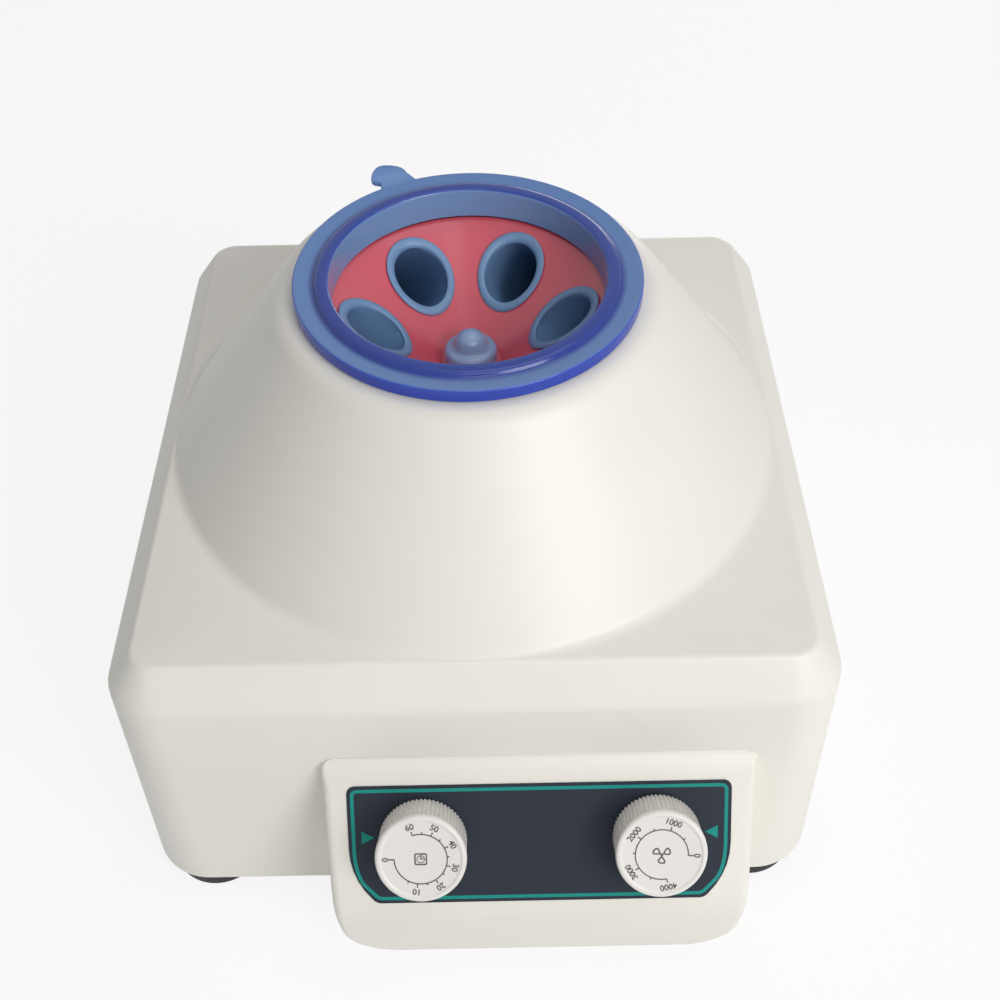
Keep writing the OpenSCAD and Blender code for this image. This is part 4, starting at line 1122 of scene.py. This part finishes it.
# %% Rotor funnel
FUNNEL_ANGLE = math.radians(37)
FUNNEL_TAN = math.tan(FUNNEL_ANGLE)
FUNNEL_WALL = 5
PITCH_R = 35.6
MOUTH_Z = deck_z + 49.1
RIM_R = 53.0
HUB_R = 13.0
FLOOR_R = 11.5
SPINDLE_R = 4.1
rotor_low = box_mm("rotor")[0]
funnel_depth = FUNNEL_WALL / math.cos(FUNNEL_ANGLE)


def funnel_z(r):
    return MOUTH_Z + (r - PITCH_R) * FUNNEL_TAN


rotor = turned("rotor_funnel", eased([
    ((SPINDLE_R, rotor_low.z), 0.4),
    ((HUB_R, rotor_low.z), 0.8),
    ((HUB_R, funnel_z(HUB_R) - funnel_depth), 3.0),
    ((RIM_R, funnel_z(RIM_R) - funnel_depth), 1.2),
    ((RIM_R, funnel_z(RIM_R)), 1.2),
    ((FLOOR_R, funnel_z(FLOOR_R)), 0.8),
    ((SPINDLE_R, funnel_z(FLOOR_R)), 0.3),
]), red_pp)
print("rotor rim at:", round(funnel_z(RIM_R), 2))

# %% [markdown]
# A sleeve is a closed tube with a thick rolled lip, tilted by 45 degrees. Its lip looks round from above,
# which makes it an oval on the slope of the funnel, so the rings of the lip are drawn in plan and dropped
# onto the funnel. Further down the rings change to true circles about the tube's own axis.

# %% Rings of a sleeve
SLEEVES = 6
RING_TURNS = full_turn(64)
sleeve_down = Vector((1, 0, -1)).normalized()
sleeve_side = Vector((1, 0, 1)).normalized()
sleeve_mouth = Vector((PITCH_R, 0, MOUTH_Z))


def round_ring(r, s):
    """A ring about the sleeve's own axis, s millimetres down from the mouth."""
    middle = sleeve_mouth + sleeve_down * s
    return [middle + sleeve_side * (r * math.cos(t)) + Vector((0, r * math.sin(t), 0)) for t in RING_TURNS]


def plan_ring(r, lift):
    """A ring that is round from above and lies a lift above the funnel."""
    ring = []
    for t in RING_TURNS:
        x = PITCH_R + r * math.cos(t)
        y = r * math.sin(t)
        ring.append(Vector((x, y, funnel_z(math.hypot(x, y)) + lift)))
    return ring


def oval_ring(r, s):
    """A ring that is round from above at the funnel, moved s millimetres down the sleeve's axis."""
    return [point + sleeve_down * s for point in plan_ring(r, 0)]


# %% [markdown]
# The holes in the funnel follow the same oval, so each sleeve fits its hole, and the lip covers the cut.
# One drill and one sleeve are made, and the ring tree gives all six.

# %% Sleeves
DRILL_R = 12.0
DRILL_REACH = 30
SLEEVE_R = 10.4
BORE_R = 8.75
TUBE_LENGTH = 74.6
ROUND_FROM = 50  # from here down the tube is truly round
OVAL_FROM = 3
OVAL_TO = 22
OVAL_R = 11.6
OVAL_BORE_HIGH = 10.0
OVAL_BORE_LOW = 9.8
END_STEPS = 8
ROTOR_PHASE = math.radians(3)
# The lip's section as (radius in plan, height above the funnel), from outside over the top to the bore
LIP = [(12.6, 0.1), (13.0, 0.25), (13.2, 0.7), (13.0, 1.2), (12.5, 1.55), (11.7, 1.65), (11.0, 1.55),
       (10.5, 1.2), (10.25, 0.7), (10.2, 0.0)]
DRILL = [(0.0, -DRILL_REACH), (DRILL_R, -DRILL_REACH), (DRILL_R, DRILL_REACH), (0.0, DRILL_REACH)]
onto_spinner = onto_axis() @ Matrix.Rotation(ROTOR_PHASE, 4, "Z")

drill_rings = [oval_ring(r, s) for r, s in DRILL]
cut_away(rotor, ring_of(add_piece("drill", *skin(drill_rings), red_pp), SLEEVES, red_pp))
settle(rotor, onto_spinner)

domes = quarter_turn(END_STEPS)
tube = [round_ring(SLEEVE_R * math.sin(t), TUBE_LENGTH + SLEEVE_R * math.cos(t)) for t in domes]
tube += [round_ring(SLEEVE_R, ROUND_FROM), oval_ring(OVAL_R, OVAL_TO), oval_ring(OVAL_R, OVAL_FROM)]
tube += [plan_ring(r, lift) for r, lift in LIP]
tube += [oval_ring(OVAL_BORE_HIGH, OVAL_FROM), oval_ring(OVAL_BORE_LOW, OVAL_TO)]
tube += [round_ring(BORE_R, ROUND_FROM)]
tube += [round_ring(BORE_R * math.cos(t), TUBE_LENGTH + BORE_R * math.sin(t)) for t in domes]
sleeves = ring_of(add_piece("tube_sleeves", *skin(tube), blue_pp), SLEEVES, blue_pp)
settle(sleeves, onto_spinner)
print("rotor faces:", len(rotor.data.polygons), "sleeve faces:", len(sleeves.data.polygons))

# %% [markdown]
# The nut that holds the rotor is a smooth dome on a thick round flange. A sphere on a cylinder would show
# a seam, so both are one profile: eased key points for the flange, then an arc for the dome.

# %% Nut
NUT_FLANGE_R = 10.2
NUT_FLANGE_H = 6.2
NUT_DOME_R = 6.5
NUT_BLIND = 6.8  # depth of the hole for the spindle
DOME_START = 0.35  # turn at which the dome leaves its foot
DOME_FOOT = 0.5
DOME_STEPS = 10
nut_low, nut_high = box_mm("rotor_nut")
dome_z = nut_high.z - NUT_DOME_R
dome_turns = [DOME_START + (math.pi / 2 - DOME_START) * k / DOME_STEPS for k in range(DOME_STEPS + 1)]
dome_arc = [Vector((NUT_DOME_R * math.cos(t), dome_z + NUT_DOME_R * math.sin(t))) for t in dome_turns]
nut_profile = eased([
    ((0.0, nut_low.z + NUT_BLIND), 0),
    ((SPINDLE_R, nut_low.z + NUT_BLIND), 0.3),
    ((SPINDLE_R, nut_low.z), 0.3),
    ((NUT_FLANGE_R, nut_low.z), 0.4),
    ((NUT_FLANGE_R, nut_low.z + NUT_FLANGE_H), 2.0),
    ((NUT_DOME_R + DOME_FOOT, dome_z), 1.5),
    (dome_arc[0], 0),
], closed=False)
nut = settle(turned("domed_nut", nut_profile + dome_arc, slate_nylon, closed=False), onto_axis())
print("nut faces:", len(nut.data.polygons))

# %% [markdown]
# The lid is a ring with a dished flange, a round ridge at the hole, a wall that hangs into the mouth and a
# short skirt round the neck. All of it turns about one axis, so one profile makes it, with many steps
# because its outline is the largest circle in the picture.

# %% Lid
LID_R = 64.5
HOLE_R = 50.8
LID_WALL = 2.2
WALL_DROP = 9.2
SKIRT_DROP = 2.9
FLANGE = 2.5
DISH = 1.2
DISH_TO = 8.2  # the dish, the ridge's foot and the ridge's top, all measured out from the hole
RIDGE_FOOT = 6.1
RIDGE_TOP = 5.1
RIDGE_LEAN = 0.2
RIDGE = 1.9
LID_STEPS = 224
LID_GAP = 0.2
SKIRT_GAP = 0.7
lid_z = neck_top + LID_GAP
skirt_in = NECK_R + SKIRT_GAP
dish_z = lid_z + FLANGE - DISH
lid = turned("lid_ring_shell", eased([
    ((HOLE_R + LID_WALL, lid_z - WALL_DROP), 0.7),
    ((HOLE_R + LID_WALL, lid_z), 0.4),
    ((skirt_in, lid_z), 0.4),
    ((skirt_in, lid_z - SKIRT_DROP), 0.3),
    ((LID_R, lid_z - SKIRT_DROP), 0.8),
    ((LID_R, lid_z + FLANGE), 1.3),
    ((HOLE_R + DISH_TO, dish_z), 2.0),
    ((HOLE_R + RIDGE_FOOT, dish_z), 1.0),
    ((HOLE_R + RIDGE_TOP, dish_z + RIDGE), 1.6),
    ((HOLE_R + RIDGE_LEAN, dish_z + RIDGE), 1.5),
    ((HOLE_R, lid_z - WALL_DROP), 0.7),
]), lid_vinyl, steps=LID_STEPS)
settle(lid, onto_axis())
print("lid faces:", len(lid.data.polygons))

# %% [markdown]
# The pull tab is a tongue that leaves the rim and curls up at one side, so a finger finds an edge. A flat
# outline made thick would look stamped, so the tongue is skinned from a few curved rows.

# %% Pull tab
TAB_TURN = math.radians(115)
TAB_THICK = 2.2
TAB_RISE = 2.45
TAB_LIFT = 0.35
TAB_REACH = 11.1
TAB_SIDE = 9.8
TAB_LANES = 14
FLANGE_SLOPE = 0.2
CURL_MIDDLE = 0.55  # share of the rise along the middle, and what it gains towards the left side
CURL_SIDE = 0.45
EDGE_SHARE = 0.95  # the faces end here and the rounded edge begins
EDGE_LOW = 0.3
EDGE_HIGH = 0.7
# Rows of the tab as (reach past the rim, right side, left side); the left side ends in a small hook
TAB_ROWS = [
    (-2.2, -7.4, 8.0), (0.0, -6.4, 7.8), (1.5, -6.1, 7.5), (2.8, -5.8, 7.4), (3.4, -5.6, 8.0),
    (4.0, -5.4, 9.1), (5.0, -5.4, 9.8), (6.0, -5.3, 9.7), (7.1, -5.0, 9.3), (8.2, -4.4, 8.6),
    (9.2, -3.3, 7.6), (10.0, -1.9, 6.5), (10.6, -0.4, 5.4), (10.95, 1.0, 4.4), (11.1, 2.4, 3.4),
]


def tab_point(row, across, side):
    """A point of the tab: across runs from -1 to 1 and side from the under to the upper face."""
    reach, right, left = row
    v = (right + left) / 2 + across * (left - right) / 2
    curl = TAB_RISE * (max(reach, 0) / TAB_REACH) ** 2 * (CURL_MIDDLE + CURL_SIDE * v / TAB_SIDE)
    root_z = TAB_LIFT + FLANGE_SLOPE * min(reach, 0)
    return Vector((LID_R + reach, v, lid_z + root_z + curl + side * TAB_THICK))


tab_lanes = [-1 + 2 * k / TAB_LANES for k in range(TAB_LANES + 1)]
tab_rings = []
for row in TAB_ROWS:
    under = [tab_point(row, across * EDGE_SHARE, 0.0) for across in tab_lanes]
    edge_far = [tab_point(row, 1.0, EDGE_LOW), tab_point(row, 1.0, EDGE_HIGH)]
    upper = [tab_point(row, across * EDGE_SHARE, 1.0) for across in reversed(tab_lanes)]
    edge_near = [tab_point(row, -1.0, EDGE_HIGH), tab_point(row, -1.0, EDGE_LOW)]
    tab_rings.append(under + edge_far + upper + edge_near)
points, faces = skin(tab_rings)
ring_size = len(tab_rings[0])
faces += [tuple(range(ring_size)), tuple(range(len(points) - ring_size, len(points)))]
tab = add_piece("lid_pull_tab", points, faces, tab_vinyl)
settle(tab, onto_axis() @ Matrix.Rotation(TAB_TURN, 4, "Z"))
print("tab faces:", len(tab.data.polygons))

# %% [markdown]
# Four rubber feet carry the case. A cylinder would do from afar, but the tread's rounded edge, the taper
# and the recess for the screw show from below, so each foot is turned. The boxes of the solids give the
# places.

# %% Feet
FOOT_PLACES = ["front_left", "front_right", "rear_left", "rear_right"]
RECESS_R = 4.6
RECESS_Z = 5.1
SHANK_HOLE_R = 2.1
TREAD_IN = 1.5
FOOT_STEPS = 64
feet = {}
for place_name in FOOT_PLACES:
    low, high = box_mm("foot_" + place_name)
    radius = (high.x - low.x) / 2
    foot = turned("rubber_foot_" + place_name, eased([
        ((RECESS_R, low.z), 0.6),
        ((radius - TREAD_IN, low.z), 1.0),
        ((radius, high.z), 0.5),
        ((SHANK_HOLE_R, high.z), 0.2),
        ((SHANK_HOLE_R, low.z + RECESS_Z), 0.2),
        ((RECESS_R, low.z + RECESS_Z), 0.3),
    ]), rubber, steps=FOOT_STEPS)
    middle = (low + high) / 2
    feet[place_name] = settle(foot, Matrix.Translation(Vector((middle.x, middle.y, 0)) * MM))
print("feet:", len(feet))

# %% [markdown]
# The screws that show, at the power inlet and under the feet, get a cross recess. One screw is modelled
# upright with its head on top, and two slots are cut into the head. The recess is what tells a screw from
# a rivet, so it is worth the two cuts.

# %% A screw
RECESS_ARM = 0.72  # shares of the head's radius and height
RECESS_HALF = 0.16
RECESS_DEEP = 0.45
CUT_PROUD = 1
SCREW_STEPS = 48
INLET_SCREW = {"shank_r": 1.6, "length": 9.0, "head_low_r": 3.36, "head_high_r": 2.4, "head_h": 1.4}
FOOT_SCREW = {"shank_r": 2.0, "length": 19.0, "head_low_r": 4.0, "head_high_r": 3.6, "head_h": 2.5}


def add_screw(name, shank_r, length, head_low_r, head_high_r, head_h):
    """A screw on the z axis, its head above z = 0, with a cross recess."""
    screw = turned(name, eased([
        ((0, -length), 0),
        ((shank_r, -length), 0.3),
        ((shank_r, 0), 0),
        ((head_low_r, 0), 0.2),
        ((head_high_r, head_h), 0.5),
        ((0, head_h), 0),
    ], closed=False), screw_steel, closed=False, steps=SCREW_STEPS)
    arm = RECESS_ARM * head_high_r
    half = RECESS_HALF * head_high_r
    deep = RECESS_DEEP * head_h
    for x, y in ((arm, half), (half, arm)):
        slot = block((-x, -y, head_h - deep), (x, y, head_h + CUT_PROUD))
        cut_away(screw, add_piece("recess", *slot, screw_steel))
    return screw


# %% [markdown]
# The inlet leans with the skirt, so its screws and contacts are laid out flat and then tilted onto it. Two
# screws face each other across the inlet. Its three contacts are bare metal over the moulded ones.

# %% Inlet screws and contacts
INLET_RISE = 44
INLET_SCREW_X = 20.0
INLET_FLANGE = 2.0
CONTACTS = [(-7, -2), (0, 2), (7, -2)]
CONTACT_X = 1.05
CONTACT_Y = 2.05
CONTACT_BACK = -18
CONTACT_TIP = -2.95
draft = math.atan((BASE_HALF - WAIST_HALF) / (waist_z - case_bottom))
inlet_out = Vector((0, math.cos(draft), math.sin(draft)))
inlet_down = Vector((0, math.sin(draft), -math.cos(draft)))
inlet_z = case_bottom + INLET_RISE
inlet_at = Vector((inlet_mid.x, axis.y + skirt_at(inlet_z), inlet_z))
inlet_turn = Matrix((panel_right, inlet_down, inlet_out)).transposed().to_4x4()
onto_inlet = Matrix.Translation(inlet_at * MM) @ inlet_turn

inlet_screw = add_screw("inlet_screw", **INLET_SCREW)
settle(inlet_screw, Matrix.Translation(Vector((INLET_SCREW_X, 0, INLET_FLANGE)) * MM))
inlet_screws = settle(ring_of(inlet_screw, 2, screw_steel), onto_inlet)

contacts = []
for x, y in CONTACTS:
    pin = block((x - CONTACT_X, y - CONTACT_Y, CONTACT_BACK), (x + CONTACT_X, y + CONTACT_Y, CONTACT_TIP))
    contacts.append(add_piece("contact", *pin, nickel))
contacts = settle(joined("inlet_contacts", contacts), onto_inlet)
print("inlet screws:", len(inlet_screws.data.polygons), "faces, contacts:", len(contacts.data.polygons))

# %% [markdown]
# The four screws under the feet point upwards, so the screw is turned over. The feet lie on a rectangle
# about the rotor's axis, which is two pairs across that axis, and the ring tree makes each pair.

# %% Foot screws
foot_low, foot_high = box_mm("foot_front_left")
foot_middle = (foot_low + foot_high) / 2
from_axis = Vector((foot_middle.x - axis.x, foot_middle.y - axis.y))
foot_pairs = []
for turn in (math.atan2(from_axis.y, from_axis.x), math.atan2(from_axis.y, -from_axis.x)):
    screw = settle(add_screw("foot_screw", **FOOT_SCREW), Matrix.Rotation(math.pi, 4, "X"))
    settle(screw, Matrix.Translation(Vector((from_axis.length, 0, RECESS_Z)) * MM))
    foot_pairs.append(settle(ring_of(screw, 2, screw_steel, None, turn), onto_axis()))
foot_screws = joined("foot_screws_fine", foot_pairs)
print("foot screws:", len(foot_screws.data.polygons), "faces")

# %% [markdown]
# Everything else keeps its solid. Each gets the finish that its record names, so the inside reads right
# when the lid is off or the part is taken apart.

# %% Finishes for the solids
FINISHES = {
    "panel_sheet": panel_film, "zinc_sheet": zinc_sheet, "screw_steel": screw_steel,
    "black_rubber": rubber, "motor_steel": can_steel, "lamination_steel": core_steel,
    "cast_aluminium": cast_alloy, "bearing_steel": shaft_steel, "brush_moulding": phenolic,
    "copper": copper, "black_moulding": black_nylon, "circuit_board": board_resin,
    "terminal_moulding": terminal_nylon, "case_plastic": cream_abs, "rotor_plastic": red_pp,
    "nut_plastic": slate_nylon, "sleeve_plastic": blue_pp, "knob_plastic": white_abs,
    "lid_plastic": lid_vinyl,
}
node_slots = {part["node"]: part["material_slot"] for part in frame["record"]["subparts"]}
for name, solid in frame["nodes"].items():
    solid.data.materials.clear()
    solid.data.materials.append(FINISHES[node_slots[name]])
print("solids with a finish:", len(node_slots))

# %% [markdown]
# Last, each piece is tied to the body that it moves with, and the solids that it stands for are hidden.
# The box of everything that renders is printed at the end.

# %% Ride and replace
RIDES = [
    (housing, "base", "case_plastic", ["housing_shell"]),
    (console, "base", "case_plastic", ["housing_shell"]),
    (trim, "base", "panel_sheet", []),
    (marks, "base", "panel_sheet", []),
    (timer_knob, "timer_dial", "knob_plastic", ["timer_knob"]),
    (timer_print, "timer_dial", "knob_plastic", []),
    (speed_knob, "speed_dial", "knob_plastic", ["speed_knob"]),
    (speed_print, "speed_dial", "knob_plastic", []),
    (rotor, "spinner", "rotor_plastic", ["rotor"]),
    (sleeves, "spinner", "sleeve_plastic", [f"tube_sleeve_{k + 1}" for k in range(SLEEVES)]),
    (nut, "spinner", "nut_plastic", ["rotor_nut"]),
    (lid, "lid", "lid_plastic", ["lid_ring"]),
    (tab, "lid", "lid_plastic", ["lid_ring"]),
    (inlet_screws, "base", "screw_steel", ["inlet_screws"]),
    (contacts, "base", "screw_steel", []),
    (foot_screws, "base", "screw_steel", ["foot_screws"]),
]
RIDES += [(feet[name], "base", "black_rubber", ["foot_" + name]) for name in FOOT_PLACES]
for piece, body, slot, nodes in RIDES:
    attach(piece, body)
    if nodes:
        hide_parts(*nodes)

low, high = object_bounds()
print("visual box:", [round(v, 4) for v in low], [round(v, 4) for v in high])
